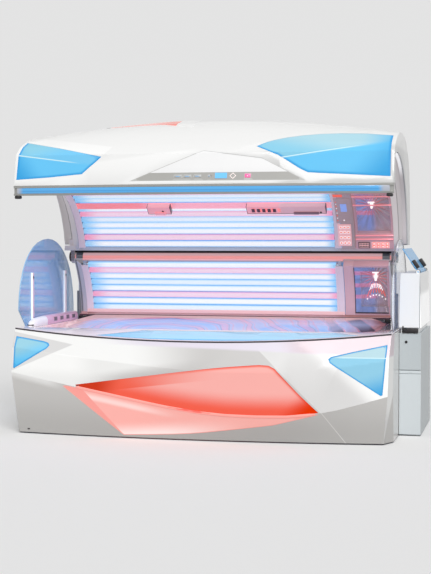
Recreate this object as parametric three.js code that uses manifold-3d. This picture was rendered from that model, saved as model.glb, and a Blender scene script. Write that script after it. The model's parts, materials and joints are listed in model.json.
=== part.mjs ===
// Clamshell tanning bed with an upward-swinging canopy, in millimetres.
// X runs along the bed with the head end at +X, Y runs to the back and Z is up.
// The canopy is drawn open, as it stands when nobody lies on the bed.
import * as THREE from 'three';
import { mergeVertices } from 'three/addons/utils/BufferGeometryUtils.js';
import Module from 'manifold-3d';

const wasm = await Module();
wasm.setup();

// Walls and gaps
const SKIN = 8;
const FIT = 0.3;
const RUN = 0.8;
const LENS_GAP = 0.6;
const OVERCUT = 1;

// Base outline: the seam under the deck, the crease in front of it and the skirt below
const BASE_REAR = 640;
const FLOOR_GAP = 8;
const SEAM_FRONT = -600;
const SEAM_SET = 8;
const SEAM_DIP = 60;
const CREASE_OUT = 100;
const CREASE_SET = 20;
const SKIRT_OUT = 40;
const SKIRT_SET = 50;
const FRONT_BOW = 80;
const CORNER_CUT = 110;
const SHOULDER_RISE = 0.6;
const SHOULDER_SHARE = 0.3;
const FRONT_STEPS = 16;
const LENS_STRIP = 10;

// Rear cover: row of vents and the mains inlet
const VENTS = 9;
const VENT_PITCH = 120;
const VENT_LENGTH = 80;
const VENT_HEIGHT = 12;
const VENT_LEVEL = 380;
const INLET_RADIUS = 22;
const INLET_BORE = 9;
const INLET_SET = 160;
const INLET_LEVEL = 120;
const INLET_PROUD = 1;

// Bench: deck, lying surface with its head rest
const DECK = 664;
const RIM = 10;
const DECK_END = 114;
const DECK_FRONT = 145;
const BENCH_REAR = 425;
const BENCH_REAR_RISE = 34;
const BENCH_SAG = 95;
const BENCH_END_RISE = 110;
const BENCH_ROWS = 9;
const BENCH_COLUMNS = 18;
const LYING_SHEET = 8;
const HEAD_REST_SET = 300;
const HEAD_REST_Y = -20;
const HEAD_REST_LENGTH = 130;
const HEAD_REST_WIDTH = 300;
const HEAD_REST_RISE = 38;
const WINDOW_EDGE = 18;

// Lamps, the sheets in front of them and the reflectors behind
const LAMP_RADIUS = 19;
const LAMP_LENGTH = 1760;
const LAMP_SET = 199;
const HEAD_END = 441;
const LAMP_SIDES = 6;
const LAMP_CLEAR = 8;
const REFLECTOR_CLEAR = 6;
const HOLDER = 26;
const ACRYLIC = 6;
const REFLECTOR = 5;
const BENCH_LAMPS = 12;
const BENCH_LAMP_EDGE = 24;
const TRAY_DEPTH = 58;

// Rear lamp wall, an arc that starts at the rear edge of the bench; angles in degrees
const WALL_RADIUS = 607;
const WALL_LAMPS = 8;
const WALL_FIRST = 8;
const WALL_LAST = 37.5;
const WALL_EDGE = 3;
const WALL_TOP_EDGE = 2;
const WALL_FLANGE = 3;
const WALL_FOOT = 2;
const LEDGE_DEPTH = 90;
const LEDGE_RISE = 6;
const LEDGE_BAR_SET = 20;
const LEDGE_BAR = 40;

// Hinge rail, which is also the axle of the canopy
const HINGE_Y = 400;
const HINGE_RISE = 438;
const RAIL_RADIUS = 34;
const RAIL_FLUTES = 12;
const FLUTE_RADIUS = 3;
const PIN_RADIUS = 18;
const PIN_OVER = 16;
const BRACKET_GAP = 5;
const BRACKET_WALL = 18;
const BRACKET_DROP = 130;
const ARM_GAP = 12;
const ARM_WALL = 24;
const EYE_RADIUS = 46;

// Lift actuators
const LEVER = 115;
const LEVER_ANGLE = -18;
const LIFT_RADIUS = 20;
const LIFT_ROOM = 6;
const LIFT_FOOT = 400;
const LIFT_DROP = 242;
const LIFT_TIE = 40;
const LIFT_PLUG = 60;
const ROD_RADIUS = 8;
const ROD_START = 120;
const ROD_SINK = 4;
const LIFT_PIN = 8;
const LIFT_EYE = 14;
const LIFT_EYE_RIM = 22;
const LIFT_EYE_WALL = 14;
const FORK_GAP = 1;
const FORK_REACH = 34;

// Canopy shell in the open position, measured from the hinge
const CANOPY_REACH = 990;
const CANOPY_BOW = 75;
const EDGE_RISE = 460;
const FACE_HEIGHT = 188;
const FACE_LEAN = 45;
const FACE_BEND = 0.45;
const SHOULDER_UP = 318;
const SHOULDER_BACK = 260;
const CROWN_UP = 436;
const CROWN_DROP = 103;
const CROWN_SET = 400;
const CANOPY_BACK = 200;
const REAR_EDGE_RISE = 83;
const CANOPY_STEPS = 14;
const ARCH_STEP = 205;
const ARCH_SET = 160;
const ARCH_FLANGE = 22;
const ARCH_END = 100;

// Arc of the canopy lamps about its own centre, measured from the hinge; angles in degrees
const ARC_FOOT_SET = 154;
const ARC_FOOT_RISE = 50;
const ARC_FRONT_SET = 150;
const ARC_FRONT_DROP = 45;
const ARC_BULGE = 181;
const ARC_EDGE = 4;
const ARC_FRONT_EDGE = 2;
const ARC_START = 1;
const ARC_STEP = 6;
const CANOPY_LAMPS = 20;
const AIR_GAP_LAMP = 7;

// Light profile under the front edge, and the beam behind it
const LIGHT_BAR_DROP = 62;
const LIGHT_BAR_DEPTH = 40;
const LIGHT_GROOVE = 12;
const GROOVE_TOP = 15;
const GROOVE_LOW = 12;
const LENS_END = 24;
const LENS_SET = 1;
const BEAM_SET = 50;
const BEAM_DEPTH = 28;
const BEAM_LOW = 4;
const BEAM_TOP = 10;
const TAB_WIDTH = 24;

// Control keys on the front of the canopy
const KEY_RISE = 47;
const KEY_PROUD = 2;
const KEY_DEPTH = 9;
const KEY_TRAVEL = 4;

// Head-end fittings along X
const CONSOLE_SET = 31;
const CONSOLE_WIDTH = 86;
const CONSOLE_PROUD = 6;
const CONSOLE_KEY_TURN = 31;
const CONSOLE_KEY_RADIUS = 13;
const CONSOLE_KEY_SHIFT = 12;
const CONSOLE_KEY_DEPTH = 20;
const TANNER_GAP = 4;
const TANNER_SET = 72;
const BOWL_EDGE = 14;
const BOWL_WALL = 11;
const FACE_BOWL_START = 12;
const FACE_BOWL_SPAN = 40;
const SHOULDER_BOWL_START = 5;
const SHOULDER_BOWL_END = 4;

// Air nozzles in the lamp-free band of the canopy
const LEFT_NOZZLE_SET = 521;
const LEFT_NOZZLE_LENGTH = 158;
const RIGHT_NOZZLE_SET = 78;
const RIGHT_NOZZLE_LENGTH = 522;
const NOZZLE_HALF = 34;
const NOZZLE_DEPTH = 34;
const SLOT_PITCH = 42;
const SLOT_WIDTH = 24;
const SLOT_SET = 36;
const SLOT_DEPTH = 18;
const SLOT_LOW = -16;
const SLOT_HIGH = 22;
const FLAP_WALL = 8;
const FLAP_PIVOT = 7;
const FLAP_STEM = 12;
const FLAP_OFFSET = -24;
const FLAP_HALF = 9;
const FLAP_TAIL = 14;

// End fins
const FIN_SET = 20;
const FIN_WALL = 8;
const FIN_FRONT = -480;
const FIN_REAR = 572;
const FIN_HEIGHT = 563;
const FIN_CROWN_Y = 60;
const FIN_CUT = 118;
const FIN_CUT_RISE = 108;

// Air pod across the foot end
const POD_SET = 72;
const POD_VENTS = 4;
const POD_VENT_PITCH = 120;
const POD_VENT_START = -40;
const POD_VENT_HALF = 16;
const POD_VENT_IN = 20;
const POD_VENT_LOW = 18;
const POD_VENT_HIGH = 40;
const POD_MOUTH_HALF = 20;
const POD_MOUTH_DEPTH = 50;
const POD_MOUTH_LOW = 6;
const POD_MOUTH_HIGH = 13;

// Welded frame
const FRAME_BAR = 50;
const FRAME_SET = 160;
const FRAME_FRONT_SET = 20;
const FOOT_RADIUS = 32;
const FOOT_HEIGHT = 60;

// Ballasts and cooling fan on the frame
const TRAY_WALL = 6;
const TRAY_HALF = 380;
const TRAY_GAP = 8;
const BALLASTS = 6;
const BALLAST_SET = 110;
const BALLAST_PITCH = 140;
const BALLAST_WIDTH = 90;
const BALLAST_HALF = 330;
const BALLAST_HEIGHT = 65;
const FAN_X = 520;
const FAN_Y = 60;
const FAN_TUNNEL = 150;
const FAN_WALL = 20;
const FAN_DEPTH = 90;
const FAN_RAIL_HALF = 30;
const FAN_SPOKE = 12;
const FAN_SPOKE_HALF = 9;
const FAN_BOSS = 40;
const FAN_SHAFT = 10;
const FAN_SHAFT_TOP = 40;
const FAN_HUB = 42;
const FAN_HUB_TOP = 74;
const FAN_BLADES = 7;
const BLADE_GAP = 6;
const BLADE_WALL = 6;
const BLADE_CHORD = 48;
const BLADE_PITCH = 38;

// Service cabinet at the head end
const CABINET_WIDTH = 136;
const CABINET_FRONT = -128;
const CABINET_DROP = 24;
const UPPER_BAY = 232;
const DOOR_WALL = 12;
const DOOR_GAP = 5;
const DOOR_SIDE = 2;
const DOOR_GRIP_EDGE = 60;
const DOOR_GRIP_DROP = 16;
const DOOR_GRIP_HEIGHT = 5;
const DOOR_GRIP_DEPTH = 3;
const LOCK_RADIUS = 9;
const LOCK_SET = 44;
const LOCK_DROP = 54;
const LOCK_PROUD = 3;
const LOCK_SLOT = 2.4;
const LOCK_SLOT_HALF = 5;
const UNIT_ROOM = 48;
const UNIT_SET = 30;
const UNIT_GROOVES = 6;
const UNIT_GROOVE_START = 60;
const UNIT_GROOVE = 18;
const UNIT_GROOVE_DEPTH = 6;
const UNIT_GROOVE_EDGE = 20;
const CANISTER_RADIUS = 46;
const CANISTER_HEIGHT = 170;
const CANISTER_SET = 90;

// Tower on the cabinet and its hinged lid
const TOWER_HEIGHT = 373;
const TOWER_NECK = 32;
const TOWER_NECK_IN = 18;
const TOWER_STEP = 4;
const TOWER_TAPER = 12;
const TOWER_REAR_SET = 40;
const TOWER_SLOT_SET = 60;
const TOWER_SLOT = 18;
const TOWER_SLOT_DEPTH = 4;
const LID_REACH = 172;
const LID_SLOPE = 124;
const LID_WALL = 6;
const LID_START = 14;
const LID_HINGE_RISE = 8;
const LID_HINGE_SET = 14;
const LID_HINGE_PIN = 5;
const KNUCKLE = 60;
const KNUCKLE_SET = 60;
const KNUCKLE_SINK = 4;

const half = (LAMP_SET + LAMP_LENGTH + HEAD_END) / 2;
const benchHalf = half - DECK_END;
const benchFront = SEAM_FRONT + DECK_FRONT;
const seamEnd = DECK - RIM - FIT;
const frameX = half - FRAME_SET;
const frameRear = BASE_REAR - SKIN - FIT - FRAME_BAR;
const frameFront = benchFront - FRAME_FRONT_SET;
const bracketFace = frameX + FRAME_BAR / 2 + BRACKET_GAP;
const armFace = bracketFace + BRACKET_WALL + ARM_GAP;
const pinEnd = armFace + ARM_WALL + PIN_OVER;
const liftX = armFace + ARM_WALL / 2;
const hingeZ = DECK + HINGE_RISE;
const liftTop = hingeZ - LIFT_DROP;
const cabinetTop = DECK - CABINET_DROP;
const cabinetShelf = cabinetTop - UPPER_BAY;
const leverY = HINGE_Y + (LEVER * (1 + Math.cos(THREE.MathUtils.degToRad(LEVER_ANGLE)))) / 2;
const leverZ = hingeZ + LEVER * Math.sin(THREE.MathUtils.degToRad(LEVER_ANGLE));
const lampLeft = -half + LAMP_SET;
const lampRight = lampLeft + LAMP_LENGTH;
const sheetLeft = lampLeft - HOLDER;
const consoleStart = lampRight + CONSOLE_SET;
const consoleEnd = consoleStart + CONSOLE_WIDTH;
const tannerStart = consoleEnd + TANNER_GAP;
const tannerEnd = half - TANNER_SET;
const wallEnd = armFace - SKIN;
const wallY = BENCH_REAR - WALL_RADIUS - OVERCUT;
const lampStep = LAMP_CLEAR + LAMP_RADIUS;
const wallLampArc = WALL_RADIUS + lampStep;
const wallReflector = wallLampArc + LAMP_RADIUS + REFLECTOR_CLEAR;
const canopyFront = HINGE_Y - CANOPY_REACH;
const canopyEdge = hingeZ + EDGE_RISE;
const canopyCrease = canopyEdge + FACE_HEIGHT;
const canopyShoulder = canopyEdge + SHOULDER_UP;
const canopyCrown = canopyEdge + CROWN_UP;
const canopyRear = HINGE_Y + CANOPY_BACK;
const crownY = HINGE_Y - CROWN_SET;
const rearEdge = hingeZ + REAR_EDGE_RISE;
const archFront = canopyFront + ARCH_SET;
const arcFoot = new THREE.Vector2(HINGE_Y - ARC_FOOT_SET, hingeZ + ARC_FOOT_RISE);
const arcEnd = new THREE.Vector2(canopyFront + ARC_FRONT_SET, canopyEdge - ARC_FRONT_DROP);
const arcChord = arcEnd.clone().sub(arcFoot);
const canopyRadius = arcChord.lengthSq() / (8 * ARC_BULGE) + ARC_BULGE / 2;
const arcInward = new THREE.Vector2(-arcChord.y, arcChord.x).setLength(canopyRadius - ARC_BULGE);
const arcCentre = arcFoot.clone().lerp(arcEnd, 0.5).add(arcInward);
const arcY = arcCentre.x;
const arcZ = arcCentre.y;
const archFrom = THREE.MathUtils.radToDeg(arcFoot.clone().sub(arcCentre).angle());
const arcTo = THREE.MathUtils.radToDeg(arcEnd.clone().sub(arcCentre).angle());
const arcFirst = archFrom + ARC_EDGE;
const arcLast = arcTo - ARC_FRONT_EDGE;
const archRadius = canopyRadius + ARCH_STEP;
const arcLamp = canopyRadius + lampStep;
const arcReflector = arcLamp + LAMP_RADIUS + REFLECTOR_CLEAR;
const arcBack = arcReflector + REFLECTOR;
const beamHalf = half - BEAM_SET;
const cabinetLeft = half + FIT;
const cabinetRight = cabinetLeft + CABINET_WIDTH;
const towerTop = cabinetTop + TOWER_HEIGHT;

const bed = new THREE.Group();
const vec = (x, y, z) => new THREE.Vector3(x, y, z);
const flat = (x, y) => new THREE.Vector2(x, y);
const rad = THREE.MathUtils.degToRad;
const mix = THREE.MathUtils.lerp;
const range = (count) => Array.from({ length: count }, (_, i) => i);

// A closed geometry from points and triangles, turned so that its faces point out
function closedGeometry(points, triangles) {
  let volume = 0;
  for (const [a, b, c] of triangles) {
    volume += points[a].dot(points[b].clone().cross(points[c]));
  }
  const turned = volume < 0 ? triangles.map(([a, b, c]) => [a, c, b]) : triangles;
  const geometry = new THREE.BufferGeometry();
  geometry.setAttribute('position', new THREE.Float32BufferAttribute(points.flatMap((p) => p.toArray()), 3));
  geometry.setIndex(turned.flat());
  return geometry;
}

// A curved wall between two grids of points with the same rows and columns
function thickSheet(outer, inner) {
  const columns = outer[0].length;
  const last = outer.length - 1;
  const points = [...outer.flat(), ...inner.flat()];
  const back = outer.length * columns;
  const triangles = [];
  const quad = (a, b, c, d) => triangles.push([a, b, c], [a, c, d]);
  for (let r = 0; r < last; r++) {
    for (let c = 0; c < columns - 1; c++) {
      const a = r * columns + c;
      quad(a, a + 1, a + columns + 1, a + columns);
      quad(back + a, back + a + columns, back + a + columns + 1, back + a + 1);
    }
  }
  const border = [
    ...range(columns),
    ...range(last).map((r) => (r + 2) * columns - 1),
    ...range(columns - 1).map((c) => last * columns + columns - 2 - c),
    ...range(last - 1).map((r) => (last - 1 - r) * columns),
  ];
  border.forEach((a, i) => {
    const b = border[(i + 1) % border.length];
    quad(b, a, back + a, back + b);
  });
  return closedGeometry(points, triangles);
}

// A solid through rings of points; flatten gives a ring's plane coordinates for its caps
function ringLoft(rings, flatten) {
  const count = rings[0].length;
  const points = rings.flat();
  const triangles = [];
  for (let r = 0; r < rings.length - 1; r++) {
    for (let i = 0; i < count; i++) {
      const a = r * count + i;
      const b = r * count + ((i + 1) % count);
      triangles.push([a, b, b + count], [a, b + count, a + count]);
    }
  }
  const cap = (ring, start, forward) => {
    const contour = ring.map(flatten);
    const way = Math.sign(THREE.ShapeUtils.area(contour));
    for (const face of THREE.ShapeUtils.triangulateShape(contour, [])) {
      const faceWay = Math.sign(THREE.ShapeUtils.area(face.map((i) => contour[i])));
      const [a, b, c] = face.map((i) => start + i);
      triangles.push((faceWay === way) === forward ? [a, b, c] : [a, c, b]);
    }
  };
  cap(rings[0], 0, false);
  cap(rings[rings.length - 1], points.length - count, true);
  return closedGeometry(points, triangles);
}

function extrude(outline, depth) {
  return new THREE.ExtrudeGeometry(new THREE.Shape(outline), { depth, bevelEnabled: false });
}

// Prisms: an outline in XZ along Y, in YZ along X, or in XY along Z
function prismY(outline, y0, y1) {
  return extrude(outline, y1 - y0).rotateX(Math.PI / 2).translate(0, y1, 0);
}

function prismX(outline, x0, x1) {
  const turn = new THREE.Matrix4().makeBasis(vec(0, 1, 0), vec(0, 0, 1), vec(1, 0, 0));
  return extrude(outline, x1 - x0).applyMatrix4(turn).translate(x0, 0, 0);
}

function prismZ(outline, z0, z1) {
  return extrude(outline, z1 - z0).translate(0, 0, z0);
}

function box(x0, x1, y0, y1, z0, z1) {
  const block = new THREE.BoxGeometry(x1 - x0, y1 - y0, z1 - z0);
  return block.translate((x0 + x1) / 2, (y0 + y1) / 2, (z0 + z1) / 2);
}

// A block on the left (-1) or right (1) side, between two distances from the middle
function sideBox(side, near, far, y0, y1, z0, z1) {
  return side > 0 ? box(near, far, y0, y1, z0, z1) : box(-far, -near, y0, y1, z0, z1);
}

function rodX(radius, x0, x1, y, z, sides = 18) {
  const rod = new THREE.CylinderGeometry(radius, radius, x1 - x0, sides).rotateZ(Math.PI / 2);
  return rod.translate((x0 + x1) / 2, y, z);
}

function rodY(radius, x, y0, y1, z, sides = 14) {
  return new THREE.CylinderGeometry(radius, radius, y1 - y0, sides).translate(x, (y0 + y1) / 2, z);
}

function rodZ(radius, x, y, z0, z1, sides = 14) {
  const rod = new THREE.CylinderGeometry(radius, radius, z1 - z0, sides).rotateX(Math.PI / 2);
  return rod.translate(x, y, (z0 + z1) / 2);
}

// Boolean joins and cuts
function solid(geometry) {
  const bare = geometry.clone();
  bare.deleteAttribute('normal');
  bare.deleteAttribute('uv');
  const merged = mergeVertices(bare, 1e-3);
  return new wasm.Manifold(new wasm.Mesh({
    numProp: 3,
    vertProperties: Float32Array.from(merged.attributes.position.array),
    triVerts: Uint32Array.from(merged.index.array),
  }));
}

function surface(body) {
  const mesh = body.getMesh();
  const geometry = new THREE.BufferGeometry();
  geometry.setAttribute('position', new THREE.BufferAttribute(Float32Array.from(mesh.vertProperties), 3));
  geometry.setIndex(Array.from(mesh.triVerts));
  return geometry;
}

const join = (...pieces) => surface(pieces.map(solid).reduce((a, b) => a.add(b)));
const cut = (piece, ...tools) => surface(tools.map(solid).reduce((a, b) => a.subtract(b), solid(piece)));
const common = (piece, tool) => surface(solid(piece).intersect(solid(tool)));

// An outline moved inwards by a distance, corner by corner
function inset(outline, distance) {
  const way = THREE.ShapeUtils.isClockWise(outline) ? -1 : 1;
  return outline.map((p, i) => {
    const before = outline[(i + outline.length - 1) % outline.length];
    const after = outline[(i + 1) % outline.length];
    const a = p.clone().sub(before).normalize();
    const b = after.clone().sub(p).normalize();
    const normal = flat(-a.y - b.y, a.x + b.x);
    const scale = (way * distance * 2) / Math.max(normal.lengthSq(), 0.6);
    return p.clone().addScaledVector(normal, scale);
  });
}

function smooth(points, steps) {
  return new THREE.SplineCurve(points.map(([x, y]) => flat(x, y))).getPoints(steps);
}

const corners = (points) => points.map(([x, y]) => flat(x, y));

function place(name, geometry, colour, roughness = 0.5, metalness = 0) {
  const material = new THREE.MeshStandardMaterial({ color: colour, roughness, metalness });
  const mesh = new THREE.Mesh(geometry, material);
  mesh.name = name;
  bed.add(mesh);
}

const WHITE = '#f2f2f0';
const BLUE = '#5bbdf0';
const RED = '#ea4a2c';
const PINK = '#f6b5ae';
const ALU = '#a9a9a6';
const DARK = '#2a2628';
const LAMP = '#dff1fd';
const STEEL = '#8d9094';

// Base cover: points on its outline, by level and column
const skirt = { half: half - SKIRT_SET, front: SEAM_FRONT - SKIRT_OUT };
const crease = { half: half - CREASE_SET, front: SEAM_FRONT - CREASE_OUT };
const seam = { half: half - SEAM_SET, front: SEAM_FRONT };
const shoulder = {
  half: mix(crease.half, seam.half, SHOULDER_SHARE),
  front: mix(crease.front, seam.front, SHOULDER_SHARE),
};
const levels = [skirt, crease, shoulder, seam];
const creaseCurve = smooth([
  [-crease.half, 390], [-600, 290], [0, 188], [420, 166], [780, 190], [crease.half, 297],
], 60);
const frontColumns = range(FRONT_STEPS + 1).map((i) => ({ s: (2 * i) / FRONT_STEPS - 1 }));
const cornerColumns = [{ end: -1 }, ...frontColumns, { end: 1 }];

function creaseHeight(x) {
  const next = Math.max(1, creaseCurve.findIndex((p) => p.x >= x - FIT));
  const a = creaseCurve[next - 1];
  const b = creaseCurve[next];
  return mix(a.y, b.y, (x - a.x) / (b.x - a.x));
}

const seamHeight = (share) => seamEnd - SEAM_DIP * (1 - share * share);

function planPoint(level, column, wall = 0) {
  if (column.end) {
    const y = level.front + FRONT_BOW + CORNER_CUT + wall;
    return flat(column.end * (half - wall), column.rear ?? y);
  }
  const { s } = column;
  return flat(s * (level.half - wall), level.front + wall + FRONT_BOW * s * s);
}

function coverPoint(level, column, wall) {
  const plan = planPoint(level, column, wall);
  const share = column.end ?? column.s;
  const fold = creaseHeight(share * crease.half);
  const top = seamHeight(share);
  const heights = new Map([
    [skirt, FLOOR_GAP],
    [crease, fold],
    [shoulder, mix(fold, top, SHOULDER_RISE)],
    [seam, top],
  ]);
  return vec(plan.x, plan.y, heights.get(level));
}

function coverSheet(columns) {
  const grid = (wall) => levels.map((level) => columns.map((column) => coverPoint(level, column, wall)));
  return thickSheet(grid(0), grid(SKIN));
}

// Lens outlines on the base front, in X and Z; two of them meet along the crease
function creaseEdge(from, to, shift) {
  const steps = 8;
  return range(steps + 1).map((i) => {
    const x = mix(from, to, i / steps);
    return flat(x, creaseHeight(x) + shift);
  });
}

const redLens = [
  ...smooth([[-742, 327], [-142, 412], [171, 451], [411, 471]], 8),
  ...corners([[470, 468], [509, 449], [661, 297]]),
  ...creaseEdge(776, -715, LENS_STRIP / 2),
];
const pinkLens = [
  flat(-827, 317),
  ...creaseEdge(-800, 783, -LENS_STRIP / 2),
  ...smooth([[500, 112], [95, 56], [-115, 36], [-440, 20]], 6),
];

// Outlines given from an end of the bed and from a level
const fromEnd = (side, level, points) => points.map(([x, z]) => flat(side * (half - x), level + z));
const blueLensRight = fromEnd(1, DECK, [
  [28, -66], [239, -111], [360, -140], [376, -154], [364, -176], [60, -364], [50, -358],
]);
const blueLensLeft = fromEnd(-1, DECK, [
  [28, -52], [223, -79], [254, -88], [264, -102], [250, -122], [36, -250], [30, -244],
]);

function makeBaseCovers() {
  const layer = coverSheet(cornerColumns);
  const reach = [crease.front - SKIN, benchFront + CORNER_CUT];
  const lenses = [
    ['base_lens_upper', redLens, RED],
    ['base_lens_lower', pinkLens, PINK],
    ['base_lens_right', blueLensRight, BLUE],
    ['base_lens_left', blueLensLeft, BLUE],
  ];
  const windows = lenses.map(([, outline]) => prismY(outline, ...reach));
  place('base_front_cover', cut(layer, ...windows), WHITE, 0.25);
  for (const [name, outline, colour] of lenses) {
    place(name, common(layer, prismY(inset(outline, LENS_GAP), ...reach)), colour, 0.2);
  }
  for (const [name, end] of [['base_end_left', -1], ['base_end_right', 1]]) {
    const grid = (wall) => levels.map((level) => {
      const start = coverPoint(level, { end }, wall).add(vec(0, FIT, 0));
      return [start, start.clone().setY(BASE_REAR - SKIN - FIT)];
    });
    place(name, thickSheet(grid(0), grid(SKIN)), WHITE, 0.3);
  }
}

function makeRearCover() {
  const face = BASE_REAR - SKIN;
  const through = [face - SKIN, BASE_REAR + SKIN];
  const vents = range(VENTS).map((i) => {
    const x = (i - (VENTS - 1) / 2) * VENT_PITCH;
    return box(x - VENT_LENGTH / 2, x + VENT_LENGTH / 2, ...through, VENT_LEVEL, VENT_LEVEL + VENT_HEIGHT);
  });
  const inlet = rodY(INLET_RADIUS, INLET_SET - half, face, BASE_REAR + INLET_PROUD, INLET_LEVEL);
  const inletBore = rodY(INLET_BORE, INLET_SET - half, ...through, INLET_LEVEL);
  const panel = box(-half, half, face, BASE_REAR, FLOOR_GAP, seamEnd);
  place('base_rear_cover', cut(join(panel, inlet), ...vents, inletBore), WHITE, 0.4);
}

// Welded frame with levelling feet, rear posts and hinge brackets
function makeFrame() {
  const low = FOOT_HEIGHT;
  const high = low + FRAME_BAR;
  const rearFace = frameRear + FRAME_BAR;
  const slope = (frameFront - SEAM_FRONT) / (benchFront - SEAM_FRONT);
  const deckUnder = mix(seamEnd - SEAM_DIP, DECK - RIM, slope) - FIT;
  const bars = [frameFront, frameRear].map((y) => box(-frameX, frameX, y, y + FRAME_BAR, low, high));
  for (const x of [-frameX, -FRAME_BAR / 2, frameX - FRAME_BAR]) {
    bars.push(box(x, x + FRAME_BAR, frameFront, rearFace, low, high));
  }
  const ledge = DECK + BENCH_REAR_RISE - LYING_SHEET - FIT;
  const ledgeFront = BENCH_REAR + LEDGE_BAR_SET;
  bars.push(box(-frameX, frameX, ledgeFront, ledgeFront + LEDGE_BAR, ledge - FRAME_BAR, ledge));
  for (const side of [-1, 1]) {
    const x0 = side * frameX - FRAME_BAR / 2;
    const x1 = x0 + FRAME_BAR;
    bars.push(box(x0, x1, frameFront, frameFront + FRAME_BAR / 2, low, deckUnder));
    bars.push(box(x0, x1, frameRear, rearFace, low, hingeZ - EYE_RADIUS));
    bars.push(sideBox(side, frameX - FRAME_BAR, frameX, ledgeFront, rearFace, ledge - FRAME_BAR, ledge));
    for (const y of [frameFront + FRAME_BAR / 2, rearFace - FOOT_RADIUS]) {
      bars.push(rodZ(FOOT_RADIUS, side * frameX, y, 0, low + OVERCUT));
    }
    bars.push(hingeBracket(side, rearFace));
  }
  const bore = rodX(PIN_RADIUS + FIT, -half, half, HINGE_Y, hingeZ);
  const railRoom = rodX(RAIL_RADIUS + FIT, -bracketFace - FIT, bracketFace + FIT, HINGE_Y, hingeZ);
  place('base_frame', cut(join(...bars), bore, railRoom), STEEL, 0.5, 0.6);
}

// A plate that reaches from the rear post to the rail, drawn from the hinge
function hingeBracket(side, rearFace) {
  const outline = [
    ...corners([[rearFace, hingeZ - BRACKET_DROP], [rearFace, hingeZ - 20]]),
    ...corners([[20, 34], [-18, 34], [-36, 12], [-36, -20]]).map((p) => p.add(flat(HINGE_Y, hingeZ))),
    flat(frameRear, hingeZ - BRACKET_DROP),
  ];
  const far = bracketFace + BRACKET_WALL;
  return side > 0 ? prismX(outline, frameX, far) : prismX(outline, -far, -frameX);
}

// Deck round the lying surface, with the blue window in its front slope
function rimPoint(column, outerEdge, drop) {
  if (outerEdge) {
    const plan = planPoint(seam, column);
    return vec(plan.x, plan.y, seamHeight(column.end ?? column.s) + FIT + RIM - drop);
  }
  if (column.end) {
    return vec(column.end * benchHalf, column.rear ?? benchFront + OVERCUT, DECK - drop);
  }
  return vec(column.s * benchHalf, benchFront, DECK - drop);
}

function makeBench() {
  const rear = BASE_REAR - SKIN - FIT;
  const columns = [{ end: -1, rear }, ...cornerColumns, { end: 1, rear }];
  const grid = (drop) => [true, false].map((edge) => columns.map((column) => rimPoint(column, edge, drop)));
  const sheet = thickSheet(grid(0), grid(RIM));
  const lip = SEAM_FRONT + FRONT_BOW / 4;
  const window = [
    ...corners([[880, benchFront - WINDOW_EDGE], [-360, benchFront - WINDOW_EDGE]]),
    ...smooth([[-640, lip + 22], [-300, lip - 2], [120, lip - 9], [560, lip + 6], [1000, lip + 50]], 8),
  ];
  const depth = [seamEnd - SEAM_DIP - RIM, DECK + RIM];
  const room = LIFT_RADIUS + LIFT_ROOM;
  const notches = [-1, 1].map((side) => (
    sideBox(side, benchHalf - OVERCUT, liftX + room, leverY - room, rear + OVERCUT, DECK - 2 * RIM,
      DECK + RIM)
  ));
  place('bench_rim', cut(sheet, prismZ(window, ...depth), ...notches), '#e3dfe2', 0.2);
  place('bench_window', common(sheet, prismZ(inset(window, LENS_GAP), ...depth)), BLUE, 0.1);
  place('lying_acrylic', lyingSheet(), '#a9c6ea', 0.05);
}

function trough(y) {
  const t = (y - benchFront) / (BENCH_REAR - benchFront);
  return DECK + BENCH_REAR_RISE * t * t - BENCH_SAG * Math.sin(Math.PI * t);
}

const benchRows = range(BENCH_ROWS + 1).map((i) => mix(benchFront + FIT, BENCH_REAR, i / BENCH_ROWS));

function headRest(x, y) {
  const along = Math.max(0, 1 - ((x - half + HEAD_REST_SET) / HEAD_REST_LENGTH) ** 2);
  const across = Math.max(0, 1 - ((y - HEAD_REST_Y) / HEAD_REST_WIDTH) ** 2);
  return HEAD_REST_RISE * along * across;
}

function lyingSheet() {
  const end = benchHalf - FIT;
  const xs = range(BENCH_COLUMNS + 1).map((i) => mix(-end, end, i / BENCH_COLUMNS));
  const grid = (drop) => benchRows.map((y) => xs.map((x) => {
    const share = Math.min(1, (benchHalf - Math.abs(x)) / BENCH_END_RISE);
    const ease = THREE.MathUtils.smoothstep(share, 0, 1);
    return vec(x, y, DECK + (trough(y) - DECK + headRest(x, y)) * ease - drop);
  }));
  return thickSheet(grid(0), grid(LYING_SHEET));
}

// A wall that follows the trough under the lying sheet, between two depths below it
function troughBand(above, below, x0, x1) {
  const ys = benchRows.slice(1, -1);
  const top = ys.map((y) => flat(y, trough(y) - above));
  const under = ys.map((y) => flat(y, trough(y) - below)).reverse();
  return prismX([...top, ...under], x0, x1);
}

function makeBenchLamps() {
  const end = LAMP_LENGTH / 2;
  const top = LYING_SHEET + FIT;
  const under = LYING_SHEET + TRAY_DEPTH;
  const front = benchRows[1] + BENCH_LAMP_EDGE;
  const rear = benchRows[BENCH_ROWS - 1] - BENCH_LAMP_EDGE;
  const tubes = range(BENCH_LAMPS).map((i) => {
    const y = mix(front, rear, i / (BENCH_LAMPS - 1));
    return rodX(LAMP_RADIUS, -end, end, y, trough(y) - (top + under) / 2, LAMP_SIDES);
  });
  const holders = [-end, end].map((x) => troughBand(top, under, x - HOLDER / 2, x + HOLDER / 2));
  const pan = troughBand(under - REFLECTOR, under, -end, end);
  place('bench_lamp_tray', join(pan, ...holders, ...tubes), LAMP, 0.3);
}

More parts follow.
